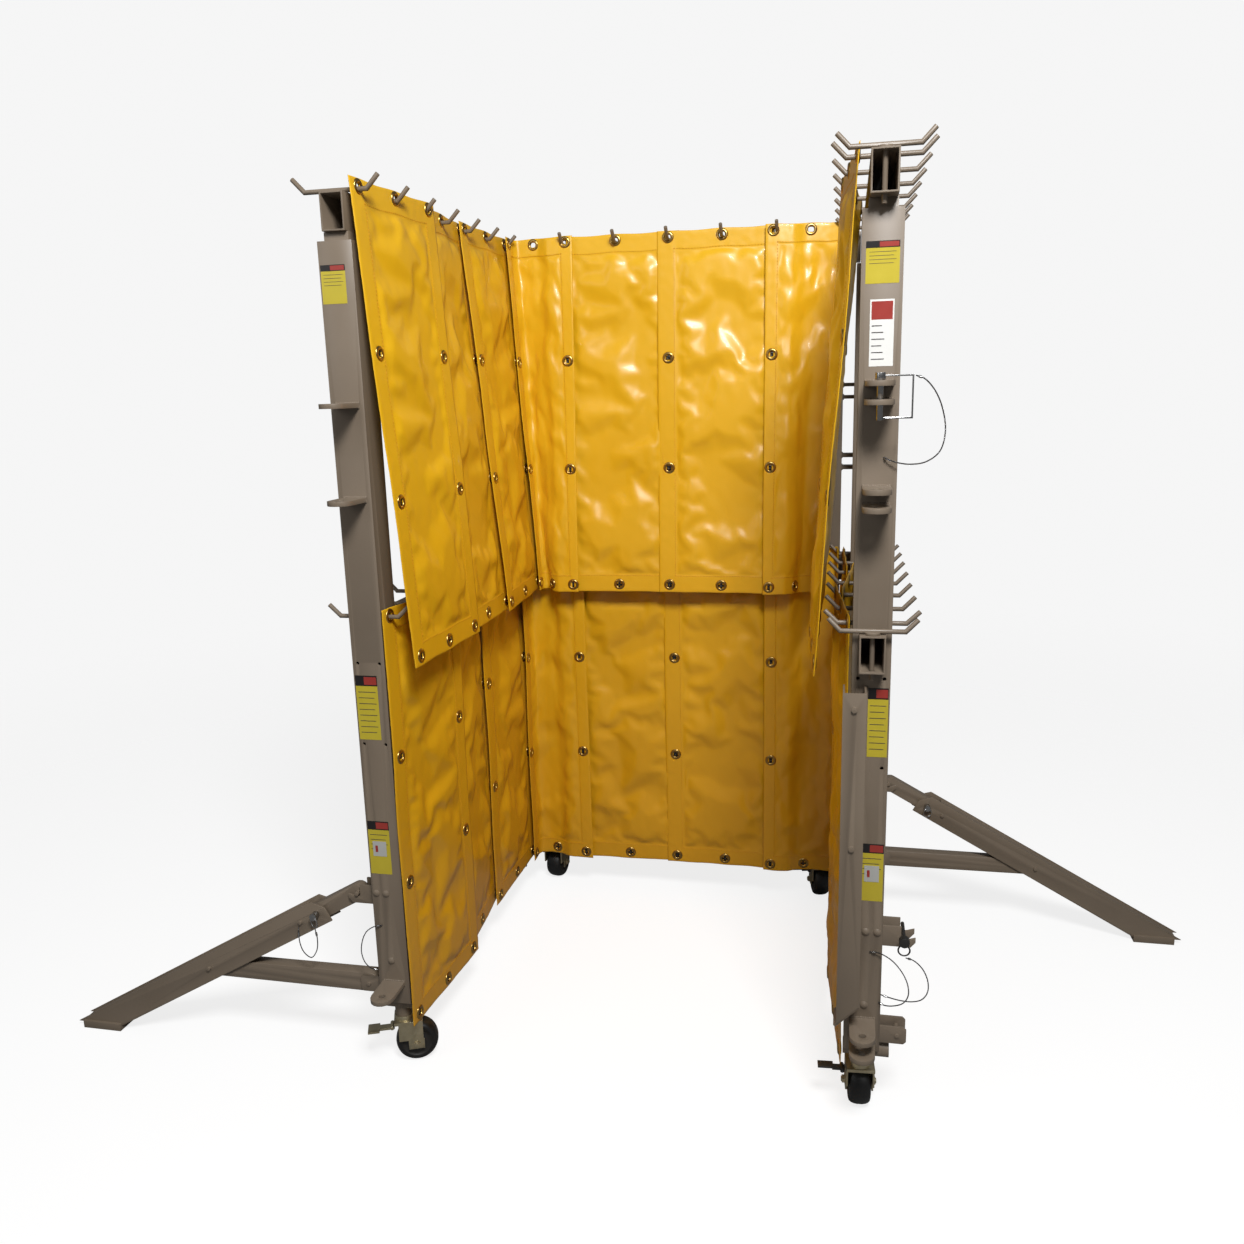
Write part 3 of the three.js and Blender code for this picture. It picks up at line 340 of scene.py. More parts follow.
def smooth_route(points, per_span=6):
    """A centripetal Catmull-Rom curve through the points."""
    knots = [Vector(p) for p in points]
    knots = [knots[0] * 2 - knots[1]] + knots + [knots[-1] * 2 - knots[-2]]
    route = []
    for i in range(1, len(knots) - 2):
        p = knots[i - 1 : i + 3]
        t = [0.0]
        for a, b in zip(p, p[1:]):
            t.append(t[-1] + max((b - a).length, 1e-6) ** 0.5)
        for k in range(per_span):
            u = t[1] + (t[2] - t[1]) * k / per_span
            a = [
                p[j] * ((t[j + 1] - u) / (t[j + 1] - t[j])) + p[j + 1] * ((u - t[j]) / (t[j + 1] - t[j]))
                for j in range(3)
            ]
            b = [
                a[j] * ((t[j + 2] - u) / (t[j + 2] - t[j])) + a[j + 1] * ((u - t[j]) / (t[j + 2] - t[j]))
                for j in range(2)
            ]
            route.append(b[0] * ((t[2] - u) / (t[2] - t[1])) + b[1] * ((u - t[1]) / (t[2] - t[1])))
    route.append(knots[-2])
    return route


for lanyard, points in LOOPS.items():
    route = smooth_route(points)
    piece = tube_along(lanyard + "_rope", route, LANYARD / 2, rope)
    for end, (near, away) in {"start": (2, 4), "end": (-3, -5)}.items():
        sleeve = tube_along(
            f"{lanyard}_{end}_sleeve", [route[near], route[away]], LANYARD * SLEEVE_OVER_ROPE, bright
        )
        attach(sleeve, BODY_OF[lanyard])
    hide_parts(lanyard)
    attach(piece, BODY_OF[lanyard])

# %% [markdown]
# The steel frame keeps its measured shape. Real tube has rounded corners that catch the light, so each
# steel part is copied, its flat faces are merged, and its hard edges get a small two-step bevel before it
# stands in for the solid.
# %% Steel parts with rounded corners
def rounded_copy(node, material, width, angle=60):
    mesh = NODES[node].data.copy()
    shell = bmesh.new()
    shell.from_mesh(mesh)
    bmesh.ops.remove_doubles(shell, verts=shell.verts, dist=0.00003)
    bmesh.ops.dissolve_limit(shell, angle_limit=math.radians(1.5), verts=shell.verts, edges=shell.edges)
    shell.to_mesh(mesh)
    shell.free()
    piece = put(node + "_steel", mesh)
    bevel = piece.modifiers.new("corners", "BEVEL")
    bevel.width = width
    bevel.segments = 2
    bevel.limit_method = "ANGLE"
    bevel.angle_limit = math.radians(angle)
    bevel.use_clamp_overlap = True
    made = plain_mesh(piece, node + "_steel", material)
    smooth_by_angle(made.data, 50)
    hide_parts(node)
    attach(made, BODY_OF[node])
    return made


STEEL = {
    "_rail": (
        enamel, 0.0022
    ), "_post": (enamel, 0.0022), "_pin_hook": (enamel, 0.0008), "_leg": (enamel, 0.0015),
    "_strut": (
        enamel, 0.0018
    ), "_fork": (zinc, 0.0009), "_brake": (black, 0.0008), "_hinge_rod": (bright, 0.0008),
    "_lock_pin": (bright, 0.0006), "bail_pin": (bright, 0.0005), "bracket_pin": (black, 0.0006),
}
for node in NODES:
    for ending, (material, width) in STEEL.items():
        if node.endswith(ending):
            rounded_copy(node, zinc if node == "front_left_caster_brake" else material, width)
            break

# %% [markdown]
# A caster wheel is turned: a rubber tyre with rounded shoulders on a moulded centre with a raised hub.
# One profile spun round the axle gives both, and the tyre and centre get their own materials by radius.
# %% Caster wheels
def caster_wheel(node, turn_degrees, half=0.024, steps=56):
    profile = [
        (0.0065, -half - 0.002),
        (0.0130, -half - 0.002),
        (0.0160, -half - 0.001),
        (0.0175, -half + 0.004),
        (0.0290, -half + 0.0045),
        (0.0345, -half + 0.002),
        (0.0360, -half + 0.0005),
        (0.0400, -half),
        (0.0445, -half + 0.0015),
        (0.0480, -half + 0.0060),
        (0.0500, -half + 0.0120),
        (0.0510, -half + 0.0185),
    ]
    profile = profile + [(r, -h) for r, h in reversed(profile)]
    low, high = (Vector(c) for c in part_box(node))
    centre = (low + high) / 2
    axle = Vector((math.cos(math.radians(turn_degrees)), math.sin(math.radians(turn_degrees)), 0))
    across = Vector((-axle.y, axle.x, 0))
    shell = bmesh.new()
    rings = []
    for k in range(steps):
        angle = 2 * math.pi * k / steps
        out = across * math.cos(angle) + Vector((0, 0, 1)) * math.sin(angle)
        rings.append([shell.verts.new(centre + axle * h + out * r) for r, h in profile])
    for k in range(steps):
        here, there = rings[k], rings[(k + 1) % steps]
        for i in range(len(profile)):
            j = (i + 1) % len(profile)
            face = shell.faces.new((here[i], here[j], there[j], there[i]))
            face.smooth = True
            face.material_index = 0 if 6 <= i <= 16 else 1
    bmesh.ops.recalc_face_normals(shell, faces=shell.faces)
    mesh = bpy.data.meshes.new(node)
    shell.to_mesh(mesh)
    shell.free()
    mesh.materials.append(rubber)
    mesh.materials.append(black)
    piece = put(node + "_tyre", mesh)
    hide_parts(node)
    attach(piece, BODY_OF[node])


for caster, turn in {"front_left": -68, "front_right": 4, "back_left": -8, "back_right": 12}.items():
    caster_wheel(caster + "_caster_wheel", turn)

# %% [markdown]
# Padded vinyl creases where it is sewn tight round a soft filling. Four flat panels are held at their
# seams, grown a few per cent and pressed outwards by the cloth solver, and the creases that form are kept
# as height maps.
# %% Creases from a cloth simulation
HOOK_PITCH, MARGIN, HEM = 0.1524, 0.031, 0.052
BLANKET_WIDTH = 2 * HOOK_PITCH + 2 * MARGIN
BLANKET_TOP = {row: round(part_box(f"back_{row}_blankets")[1][2], 4) for row in ("upper", "lower")}
BLANKET_HEIGHT = round(BLANKET_TOP["upper"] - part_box("back_upper_blankets")[0][2], 4)
CREASE_STEP = 0.011
PANEL_W, PANEL_H = BLANKET_WIDTH - 2 * HEM, BLANKET_HEIGHT - 2 * HEM
NU, NV = round(PANEL_W / CREASE_STEP) + 1, round(PANEL_H / CREASE_STEP) + 1
PANELS = 4


def crease_panels():
    shell = bmesh.new()
    for panel in range(PANELS):
        grid = [
            [
                shell.verts.new((
                    PANEL_W * i / (NU - 1) + panel * 0.5,
                    PANEL_H * j / (NV - 1),
                    0.0028 * noise.noise(Vector((i * 0.17, j * 0.08, panel * 9.7)))
                    + 0.0006 * noise.noise(Vector((i * 0.4, j * 0.25, panel * 4.1))),
                ))
                for i in range(NU)
            ]
            for j in range(NV)
        ]
        for j in range(NV - 1):
            for i in range(NU - 1):
                shell.faces.new((grid[j][i], grid[j][i + 1], grid[j + 1][i + 1], grid[j + 1][i]))
    mesh = bpy.data.meshes.new("crease_panels")
    shell.to_mesh(mesh)
    shell.free()
    panels = put("crease_panels", mesh)
    held = panels.vertex_groups.new(name="seam")
    for panel in range(PANELS):
        for j in range(NV):
            for i in range(NU):
                if i in (0, NU - 1) or j in (0, NV - 1):
                    held.add([panel * NU * NV + j * NU + i], 1.0, "REPLACE")
    cloth = panels.modifiers.new("cloth", "CLOTH")
    cloth.settings.vertex_group_mass = "seam"
    cloth.settings.quality = 6
    cloth.settings.mass = 0.9
    cloth.settings.tension_stiffness = 30
    cloth.settings.compression_stiffness = 30
    cloth.settings.shear_stiffness = 12
    cloth.settings.bending_stiffness = 2.6
    cloth.settings.shrink_min = -0.030
    cloth.settings.use_pressure = True
    cloth.settings.uniform_pressure_force = 0.25
    cloth.settings.effector_weights.gravity = 0
    cloth.collision_settings.use_collision = False
    frames = 28
    cloth.point_cache.frame_end = frames
    for step in range(1, frames + 1):
        bpy.context.scene.frame_set(step)
    solved = panels.evaluated_get(bpy.context.evaluated_depsgraph_get()).to_mesh()
    heights = [v.co.z for v in solved.vertices]
    bpy.data.objects.remove(panels)
    bpy.context.scene.frame_set(1)
    return heights


crease = crease_panels()
print("crease heights mm:", round(min(crease) * 1000, 1), round(max(crease) * 1000, 1))


def crease_at(panel, u, v, flip):
    """Height of a crease at u across and v down the sewn panel, both from 0 to 1."""
    u = 1 - u if flip else u
    x, y = min(max(u, 0), 1) * (NU - 1), min(max(v, 0), 1) * (NV - 1)
    i, j = min(int(x), NU - 2), min(int(y), NV - 2)
    fx, fy = x - i, y - j
    base = panel * NU * NV
    a, b = crease[base + j * NU + i], crease[base + j * NU + i + 1]
    c, d = crease[base + (j + 1) * NU + i], crease[base + (j + 1) * NU + i + 1]
    return (a * (1 - fx) + b * fx) * (1 - fy) + (c * (1 - fx) + d * fx) * fy


# %% [markdown]
# A blanket is two layers sewn flat round a wide hem, with soft filling inside. Each one is a closed grid:
# thin and flat in the hem, pinched at the seam, swollen and creased inside, with real holes where the
# eyelets go. It follows a line in plan at its top and another at its bottom, so one maker serves hanging,
# leaning and wrapped blankets.
# %% Blanket maker
def marks(length, step):
    near = [0, 0.0015, 0.005, 0.011, 0.017, 0.024, 0.031, 0.038, 0.045, 0.0495, HEM, 0.0545, 0.058, 0.064]
    count = round((length - 2 * near[-1]) / step)
    middle = [near[-1] + (length - 2 * near[-1]) * k / count for k in range(1, count)]
    return near + middle + [length - m for m in reversed(near)]


def along_line(line, share):
    """A point on a polyline at a share of its length."""
    spans = [(Vector(b) - Vector(a)).length for a, b in zip(line, line[1:])]
    reach = share * sum(spans)
    for (a, b), span in zip(zip(line, line[1:]), spans):
        if reach <= span + 1e-9:
            return Vector(a).lerp(Vector(b), reach / span)
        reach -= span
    return Vector(line[-1])


EYELET_HOLE = 0.0088
THREE_ACROSS = (MARGIN, BLANKET_WIDTH / 2, BLANKET_WIDTH - MARGIN)
EYELETS = [(u, 0.018) for u in THREE_ACROSS]
EYELETS += [(u, v) for v in (0.347, 0.657) for u in (MARGIN, BLANKET_WIDTH - MARGIN)]
EYELETS += [(u, 0.998) for u in THREE_ACROSS]


def blanket(name, top, low, top_z, inward, seed, shift=0.0, swell=1.0):
    """top and low are lines in plan. The bay is to the left (inward 1) or right (inward -1) of them."""
    panel, flip = seed % PANELS, (seed // PANELS) % 2 == 1
    centre_line = {}

    def centre(u, v):
        key = round(u / BLANKET_WIDTH, 4)
        if key not in centre_line:
            ends = [
                along_line(line, min(max(key + d, 0), 1)) for line in (top, low) for d in (-0.03, 0, 0.03)
            ]
            t, l = (ends[0] + ends[1] * 2 + ends[2]) / 4, (ends[3] + ends[4] * 2 + ends[5]) / 4
            if key in (0, 1):
                t, l = ends[1], ends[4]
            ways = [(ends[2] - ends[0]).normalized(), (ends[5] - ends[3]).normalized()]
            centre_line[key] = (t, l, ways)
        t, l, ways = centre_line[key]
        share = v / BLANKET_HEIGHT
        at = t.lerp(l, share)
        way = ways[0].lerp(ways[1], share).normalized().to_3d()
        out = Vector((-way.y, way.x, 0)) * inward
        sway = 0.0022 * math.sin(v * 9 + seed * 1.7) * math.sin(math.pi * share)
        sway += 0.0012 * noise.noise(Vector((u * 9, v * 7, seed * 3.1)))
        sag = 0
        if MARGIN < u < BLANKET_WIDTH - MARGIN:
            sag = 0.0025 * math.sin(math.pi * (u - MARGIN) / HOOK_PITCH) ** 2 * (1 - share)
        droop = 0.0028 * noise.noise(Vector((u * 11, 0, seed * 7.3))) * share
        return Vector((at.x, at.y, top_z - v - sag + droop)) + out * (sway + shift), out, way

    def side(u, v, face):
        at, out, _ = centre(u, v)
        edge = min(u, BLANKET_WIDTH - u, v, BLANKET_HEIGHT - v)
        if edge < HEM:
            thick = 0.0017 * min(1, 0.35 + edge / 0.004) - 0.0007 * max(0, 1 - abs(edge - HEM) / 0.003)
            ripple = 0.0007 * noise.noise(Vector((u * 60, v * 60, seed)))
            return at + out * (face * thick + ripple)
        inside = edge - HEM
        full = min(1, inside / 0.030)
        full = full * full * (3 - 2 * full)
        folds = crease_at(panel, (u - HEM) / PANEL_W, (v - HEM) / PANEL_H, flip) * min(1, inside / 0.012)
        folds = max(min(folds, 0.009), -0.009)
        tight = 0.0010 * noise.noise(Vector((u * 38, v * 24, seed * 5.0))) * full
        body = 0.0010 + 0.0032 * full * swell
        return at + out * (face * body + folds * (0.8 if face > 0 else 0.45) * swell + tight)

    us, vs = marks(BLANKET_WIDTH, 0.0078), marks(BLANKET_HEIGHT, 0.0085)
    shell = bmesh.new()
    faces = {f: [[shell.verts.new(side(u, v, f)) for u in us] for v in vs] for f in (1, -1)}
    rows, columns = len(vs) - 1, len(us) - 1

    def kept(j, i):
        if not (0 <= j < rows and 0 <= i < columns):
            return False
        u, v = (us[i] + us[i + 1]) / 2, (vs[j] + vs[j + 1]) / 2
        return all((u - a) ** 2 + (v - b) ** 2 > EYELET_HOLE**2 for a, b in EYELETS)

    for j in range(rows):
        for i in range(columns):
            if not kept(j, i):
                continue
            corners = [(j, i), (j, i + 1), (j + 1, i + 1), (j + 1, i)]
            shell.faces.new([faces[1][a][b] for a, b in corners])
            shell.faces.new([faces[-1][a][b] for a, b in reversed(corners)])
            beside = [(j - 1, i), (j, i + 1), (j + 1, i), (j, i - 1)]
            for k, (a, b) in enumerate(beside):
                if not kept(a, b):
                    (a0, b0), (a1, b1) = corners[k], corners[(k + 1) % 4]
                    shell.faces.new(
                        [faces[1][a1][b1], faces[1][a0][b0], faces[-1][a0][b0], faces[-1][a1][b1]]
                    )
    loose = [v for v in shell.verts if not v.link_faces]
    bmesh.ops.delete(shell, geom=loose, context="VERTS")
    bmesh.ops.recalc_face_normals(shell, faces=shell.faces)
    for face in shell.faces:
        face.smooth = True
    mesh = bpy.data.meshes.new(name)
    shell.to_mesh(mesh)
    shell.free()
    piece = put(name, mesh, vinyl)
    rings = [(centre(u, v)[0], centre(u, v)[1]) for u, v in EYELETS]
    sewn = []
    inset = HEM - 0.0035
    loop = [
        (u, v, 1) for u in (inset, BLANKET_WIDTH - inset) for v in spaced(inset, BLANKET_HEIGHT - inset)
    ]
    loop += [
        (u, v, 0) for v in (inset, BLANKET_HEIGHT - inset) for u in spaced(inset, BLANKET_WIDTH - inset)
    ]
    for u, v, upright in loop:
        for face in (1, -1):
            at, out, way = centre(u, v)
            sewn.append(
                (side(u, v, face) + out * face * 0.0004, out * face, Vector((0, 0, 1)) if upright else way)
            )
    return piece, rings, sewn


def spaced(start, end, pitch=0.0085):
    count = round((end - start) / pitch)
    return [start + (end - start) * k / count for k in range(count + 1)]


# %% [markdown]
# Where each blanket hangs follows from the hooks: three hooks each, one shared with its neighbour. Upper
# blankets lean on the tips of the middle hooks, so their bottoms stand further into the bay. Corner
# blankets wrap from wing to back.
# %% Hang the blankets
HINGE = next(j for j in frame["record"]["behaviour"]["joints"] if j["name"] == "right_wing_hinge")
WING_X, BACK_Y = (round(c, 4) for c in HINGE["pos_m"][:2])
BACK_HOOK_SHIFT = -0.014
FIRST_HOOK = {"left": -0.4917, "right": -0.4597}
NEAR_POST, NEAR, NEAR_INNER, FAR, FAR_INNER = 0.0471, 0.034, 0.050, 0.058, 0.074
SWUNG, SWUNG_INNER = 0.116, 0.132
BACK_LINE = 0.0501
ROWS = {"upper": (BLANKET_TOP["upper"], True), "lower": (BLANKET_TOP["lower"], False)}
hung, seed = {}, 0
for row, (top_z, leans) in ROWS.items():
    for hand, sign in (("left", -1), ("right", 1)):
        first = FIRST_HOOK[hand]
        offsets = [
            (NEAR_POST, FAR_INNER, SWUNG, SWUNG_INNER), (FAR, NEAR, SWUNG, SWUNG),
            (NEAR_INNER, FAR, SWUNG_INNER, SWUNG)
        ]
        for k, (front, rear, front_low, rear_low) in enumerate(offsets):
            seed += 1
            y0, y1 = first + 2 * k * HOOK_PITCH - MARGIN, first + (2 * k + 2) * HOOK_PITCH + MARGIN
            y1 = min(y1, BACK_Y - BACK_LINE - 0.006)

            def place(y, a, b):
                share = (y - first - 2 * k * HOOK_PITCH) / (2 * HOOK_PITCH)
                return (sign * (WING_X - (a + (b - a) * share)), y)

            top = [place(y0, front, rear), place(y1, front, rear)]
            low = [place(y0, front_low, rear_low), place(y1, front_low, rear_low)] if leans else top
            node = f"{hand}_{row}_blanket_{k + 1}"
            hung[node] = (
                blanket(node + "_padded", top, low, top_z, sign, seed), [node], f"{hand}_wing", None
            )
        wing_hook = first + 6 * HOOK_PITCH - BACK_Y
        back_hook = 2 * HOOK_PITCH + sign * BACK_HOOK_SHIFT
        inner = WING_X - FAR_INNER
        corner_top = [
            (inner, wing_hook - MARGIN),
            (inner, wing_hook),
            (inner, min(wing_hook + 0.027, -BACK_LINE)),
            (inner - 0.008, -BACK_LINE + 0.002),
            (inner - 0.040, -BACK_LINE + 0.004),
            (back_hook + 0.076, -BACK_LINE),
            (back_hook + 0.046, -BACK_LINE - 0.018),
            (back_hook, -BACK_LINE - 0.020),
            (back_hook - MARGIN, -BACK_LINE - 0.020),
        ]
        lean = WING_X - SWUNG_INNER
        corner_low = [
            (lean, -SWUNG - 0.006),
            (lean, -SWUNG + 0.004),
            (lean, -SWUNG + 0.014),
            (lean - 0.004, -SWUNG + 0.024),
            (lean - 0.014, -SWUNG + 0.030),
            (back_hook + 0.066, -SWUNG + 0.024),
            (back_hook + 0.052, -SWUNG - 0.006),
            (back_hook + 0.030, -SWUNG - 0.022),
            (back_hook - MARGIN, -SWUNG - 0.022),
        ]
        seed += 1
        node = f"{hand}_{row}_corner_blanket"
        top, low = (
            [(sign * x, y + BACK_Y) for x, y in line]
            for line in (corner_top, corner_low if leans else corner_top)
        )
        hung[node] = (
            blanket(node + "_padded", top, low, top_z, sign, seed, swell=0.6), [node], "back_frame",
            f"{hand}_wing"
        )
    for half, (a, b, shift) in {"left": (-2, 0, 0.0), "right": (0, 2, 0.0035)}.items():
        seed += 1
        x0, x1 = BACK_HOOK_SHIFT + a * HOOK_PITCH - MARGIN, BACK_HOOK_SHIFT + b * HOOK_PITCH + MARGIN
        top = [(x0, BACK_Y - BACK_LINE), (x1, BACK_Y - BACK_LINE)]
        low = [(x0, BACK_Y - SWUNG), (x1, BACK_Y - SWUNG)] if leans else top
        name = f"back_{row}_blanket_{half}"
        hung[name] = (
            blanket(name + "_padded", top, low, top_z, -1, seed, shift), [f"back_{row}_blankets"],
            "back_frame", None
        )


def follow(piece, body, other):
    """Move with one body; a corner piece, shared by the back and a wing, is baked in place and moves with
    neither.
    """
    if other:
        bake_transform(piece)
    else:
        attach(piece, body)


for name, ((piece, rings, sewn), nodes, body, other) in hung.items():
    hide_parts(*nodes)
    follow(piece, body, other)
print("blankets:", len(hung))

# %% [markdown]
# Eyelets and stitches repeat hundreds of times, so each is one small mesh placed by Geometry Nodes on
# points that carry which way they face and run. The result is turned into one plain mesh for each body
# that it moves with.
# %% Repeat a small piece on points
def repeated(name, unit, places, material, jitter=0.0):
    mesh = bpy.data.meshes.new(name)
    mesh.from_pydata([at for at, _, _ in places], [], [])
    for label, index in (("facing", 1), ("running", 2)):
        values = mesh.attributes.new(label, "FLOAT_VECTOR", "POINT")
        values.data.foreach_set("vector", [c for place in places for c in place[index]])
    piece = put(name, mesh)
    tree = bpy.data.node_groups.new(name, "GeometryNodeTree")
    tree.interface.new_socket("Points", in_out="INPUT", socket_type="NodeSocketGeometry")
    unit_socket = tree.interface.new_socket("Unit", in_out="INPUT", socket_type="NodeSocketObject")
    size_socket = tree.interface.new_socket("Size", in_out="INPUT", socket_type="NodeSocketFloat")
    size_socket.default_value = 1.0
    tree.interface.new_socket("Geometry", in_out="OUTPUT", socket_type="NodeSocketGeometry")
    inputs = add_node(tree, "NodeGroupInput")
    facing = add_node(
        tree, "GeometryNodeInputNamedAttribute", {"data_type": "FLOAT_VECTOR"}, Name="facing"
    )
    running = add_node(
        tree, "GeometryNodeInputNamedAttribute", {"data_type": "FLOAT_VECTOR"}, Name="running"
    )
    stand = add_node(
        tree, "FunctionNodeAlignRotationToVector", {"axis": "Z"}, Vector=facing.outputs["Attribute"]
    )
    turn = add_node(
        tree, "FunctionNodeAlignRotationToVector", {"axis": "X", "pivot_axis": "Z"},
        Rotation=stand.outputs["Rotation"], Vector=running.outputs["Attribute"],
    )
    shape = add_node(
        tree, "GeometryNodeObjectInfo", {"transform_space": "ORIGINAL"}, Object=inputs.outputs["Unit"]
    )
    vary = add_node(tree, "FunctionNodeRandomValue", {"data_type": "FLOAT"}, Seed=7)
    vary.inputs["Min"].default_value = 1 - jitter
    vary.inputs["Max"].default_value = 1 + jitter
    scale = add_node(
        tree, "ShaderNodeMath", {"operation": "MULTIPLY"}, _0=inputs.outputs["Size"],
        _1=vary.outputs["Value"]
    )
    spread = add_node(
        tree, "GeometryNodeInstanceOnPoints", Points=inputs.outputs["Points"], Instance=shape.outputs[
            "Geometry"
        ],
        Rotation=turn.outputs["Rotation"], Scale=scale.outputs["Value"],
    )
    solid = add_node(tree, "GeometryNodeRealizeInstances", Geometry=spread.outputs["Instances"])
    finish = add_node(tree, "GeometryNodeSetMaterial", Geometry=solid.outputs["Geometry"])
    finish.inputs["Material"].default_value = material
    add_node(tree, "NodeGroupOutput", Geometry=finish.outputs["Geometry"])
    spreader = piece.modifiers.new("repeat", "NODES")
    spreader.node_group = tree
    spreader[unit_socket.identifier] = unit
    spreader[size_socket.identifier] = 1.0
    made = plain_mesh(piece, name, material)
    for face in made.data.polygons:
        face.use_smooth = True
    return made


def spun(name, profile, steps):
    """A closed profile of (radius, height) pairs spun round the upright axis."""
    shell = bmesh.new()
    rings = [
        [
            shell.verts.new((r * math.cos(2 * math.pi * k / steps), r * math.sin(2 * math.pi * k / steps), h))
            for r, h in profile
        ]
        for k in range(steps)
    ]
    for k in range(steps):
        for i in range(len(profile)):
            j = (i + 1) % len(profile)
            shell.faces.new(
                (rings[k][i], rings[k][j], rings[(k + 1) % steps][j], rings[(k + 1) % steps][i])
            )
    bmesh.ops.recalc_face_normals(shell, faces=shell.faces)
    mesh = bpy.data.meshes.new(name)
    shell.to_mesh(mesh)
    shell.free()
    piece = put(name, mesh)
    piece.hide_render = True
    return piece


eyelet_unit = spun(
    "eyelet_unit",
    [
        (0.0085, -0.0030), (0.0105, -0.0042), (0.0145, -0.0040), (0.0168, -0.0022), (0.0168, 0.0022),
        (0.0145, 0.0040), (0.0105, 0.0042), (0.0085, 0.0030)
    ],
    20,
)
# Painted shade: a thin dark disc in each side and bottom eyelet hole stands for the shade seen through the
# hole, and takes the rubber material only for its near-black colour.
web_unit = spun(
    "web_unit", [(0.0001, -0.0005), (0.0090, -0.0005), (0.0090, 0.0005), (0.0001, 0.0005)], 16
)
stitch_mesh = bpy.data.meshes.new("stitch_unit")
stitch_mesh.from_pydata(
    [
        (-0.0031, 0, 0), (-0.0016, -0.0007, 0), (-0.0016, 0, 0.0007), (-0.0016, 0.0007, 0),
        (0.0016, -0.0007, 0), (0.0016, 0, 0.0007), (0.0016, 0.0007, 0), (0.0031, 0, 0)
    ],
    [],
    [
        (0, 2, 1), (0, 3, 2), (0, 1, 3), (1, 2, 5, 4), (2, 3, 6, 5), (3, 1, 4, 6), (7, 4, 5), (7, 5, 6),
        (7, 6, 4)
    ],
)
stitch_unit = put("stitch_unit", stitch_mesh)
stitch_unit.hide_render = True

groups = {}
for name, ((piece, rings, sewn), nodes, body, other) in hung.items():
    group = groups.setdefault((body, other), [[], [], []])
    group[0] += [(at, out, Vector((0, 0, 1))) for at, out in rings]
    group[1] += sewn
    # Side and bottom eyelets get a dark disc of painted shade in their holes.
    group[2] += [(at, out, Vector((0, 0, 1))) for at, out in rings[3:]]
for (body, other), (rings, sewn, hole_shade_discs) in groups.items():
    label = (other or body) + ("_corner" if other else "")
    kinds = (
        ("eyelets", eyelet_unit, rings, eyelet), ("stitches", stitch_unit, sewn, thread),
        ("eyelet_webs", web_unit, hole_shade_discs, rubber)
    )
    for kind, unit, places, material in kinds:
        made = repeated(f"{label}_{kind}", unit, places, material, 0.0)
        follow(made, body, other)

# %% [markdown]
# Welds show as rows of small overlapping ripples. They run where the hinge lugs meet the posts and where
# hooks meet the rails, so points go along those joints and a small round bead is set on each.
# %% Weld beads
bead_shell = bmesh.new()
bmesh.ops.create_icosphere(bead_shell, subdivisions=1, radius=0.0034)
bead_mesh = bpy.data.meshes.new("bead_unit")
bead_shell.to_mesh(bead_mesh)
bead_shell.free()
bead_unit = put("bead_unit", bead_mesh)
bead_unit.hide_render = True
POST_HALF, LUG_HALF, LUG_THICK = 0.0381, 0.027, 0.010
FRONT_POST_Y, REAR_POST_Y, BACK_POST_X = -0.4786, 0.4073, 0.4379
LUG_LEVELS = ((1.575, 0.017), (1.377, 0.017), (0.226, 0.021))
RAIL_TOPS = (2.0, 1.109)
beads = {}
posts = {
    "left_wing": [(-WING_X, FRONT_POST_Y, 0, -1, False), (-WING_X, REAR_POST_Y, 0, 1, True)],
    "right_wing": [(WING_X, FRONT_POST_Y, 0, -1, True), (WING_X, REAR_POST_Y, 0, 1, False)],
    "back_frame": [(-BACK_POST_X, BACK_Y, -1, 0, False), (BACK_POST_X, BACK_Y, 1, 0, True)],
}
for body, ends in posts.items():
    for x, y, dx, dy, paired in ends:
        for level_z, split in LUG_LEVELS:
            for z in ((level_z - split, level_z + split) if paired else (level_z,)):
                for side_z in (-LUG_THICK / 2, LUG_THICK / 2):
                    for k in range(12):
                        across = -LUG_HALF + 2 * LUG_HALF * (k + 0.5) / 12
                        at = Vector(
                            (x + dx * POST_HALF + dy * across, y + dy * POST_HALF + dx * across, z + side_z)
                        )
                        beads.setdefault(body, []).append((at, Vector((dx, dy, 0)), Vector((dy, dx, 0))))
for top_z in RAIL_TOPS:
    for hand, sign in (("left", -1), ("right", 1)):
        for i in range(7):
            y = FIRST_HOOK[hand] + i * HOOK_PITCH
            if top_z == RAIL_TOPS[1] and min(abs(y - FRONT_POST_Y), abs(y - REAR_POST_Y)) < 0.04:
                continue
            for edge in (-0.0045, 0.0045):
                for k in range(7):
                    at = Vector((sign * WING_X - 0.018 + 0.006 * k, y + edge, top_z))
                    beads[hand + "_wing"].append((at, Vector((0, 0, 1)), Vector((1, 0, 0))))
    for i in range(-2, 3):
        for edge in (-0.0045, 0.0045):
            for k in range(7):
                at = Vector((BACK_HOOK_SHIFT + i * HOOK_PITCH + edge, BACK_Y - 0.018 + 0.006 * k, top_z))
                beads["back_frame"].append((at, Vector((0, 0, 1)), Vector((0, 1, 0))))
for body, places in beads.items():
    made = repeated(body + "_weld_beads", bead_unit, places, enamel, 0.15)
    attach(made, body)
for unit in (eyelet_unit, stitch_unit, web_unit, bead_unit):
    bpy.data.objects.remove(unit)

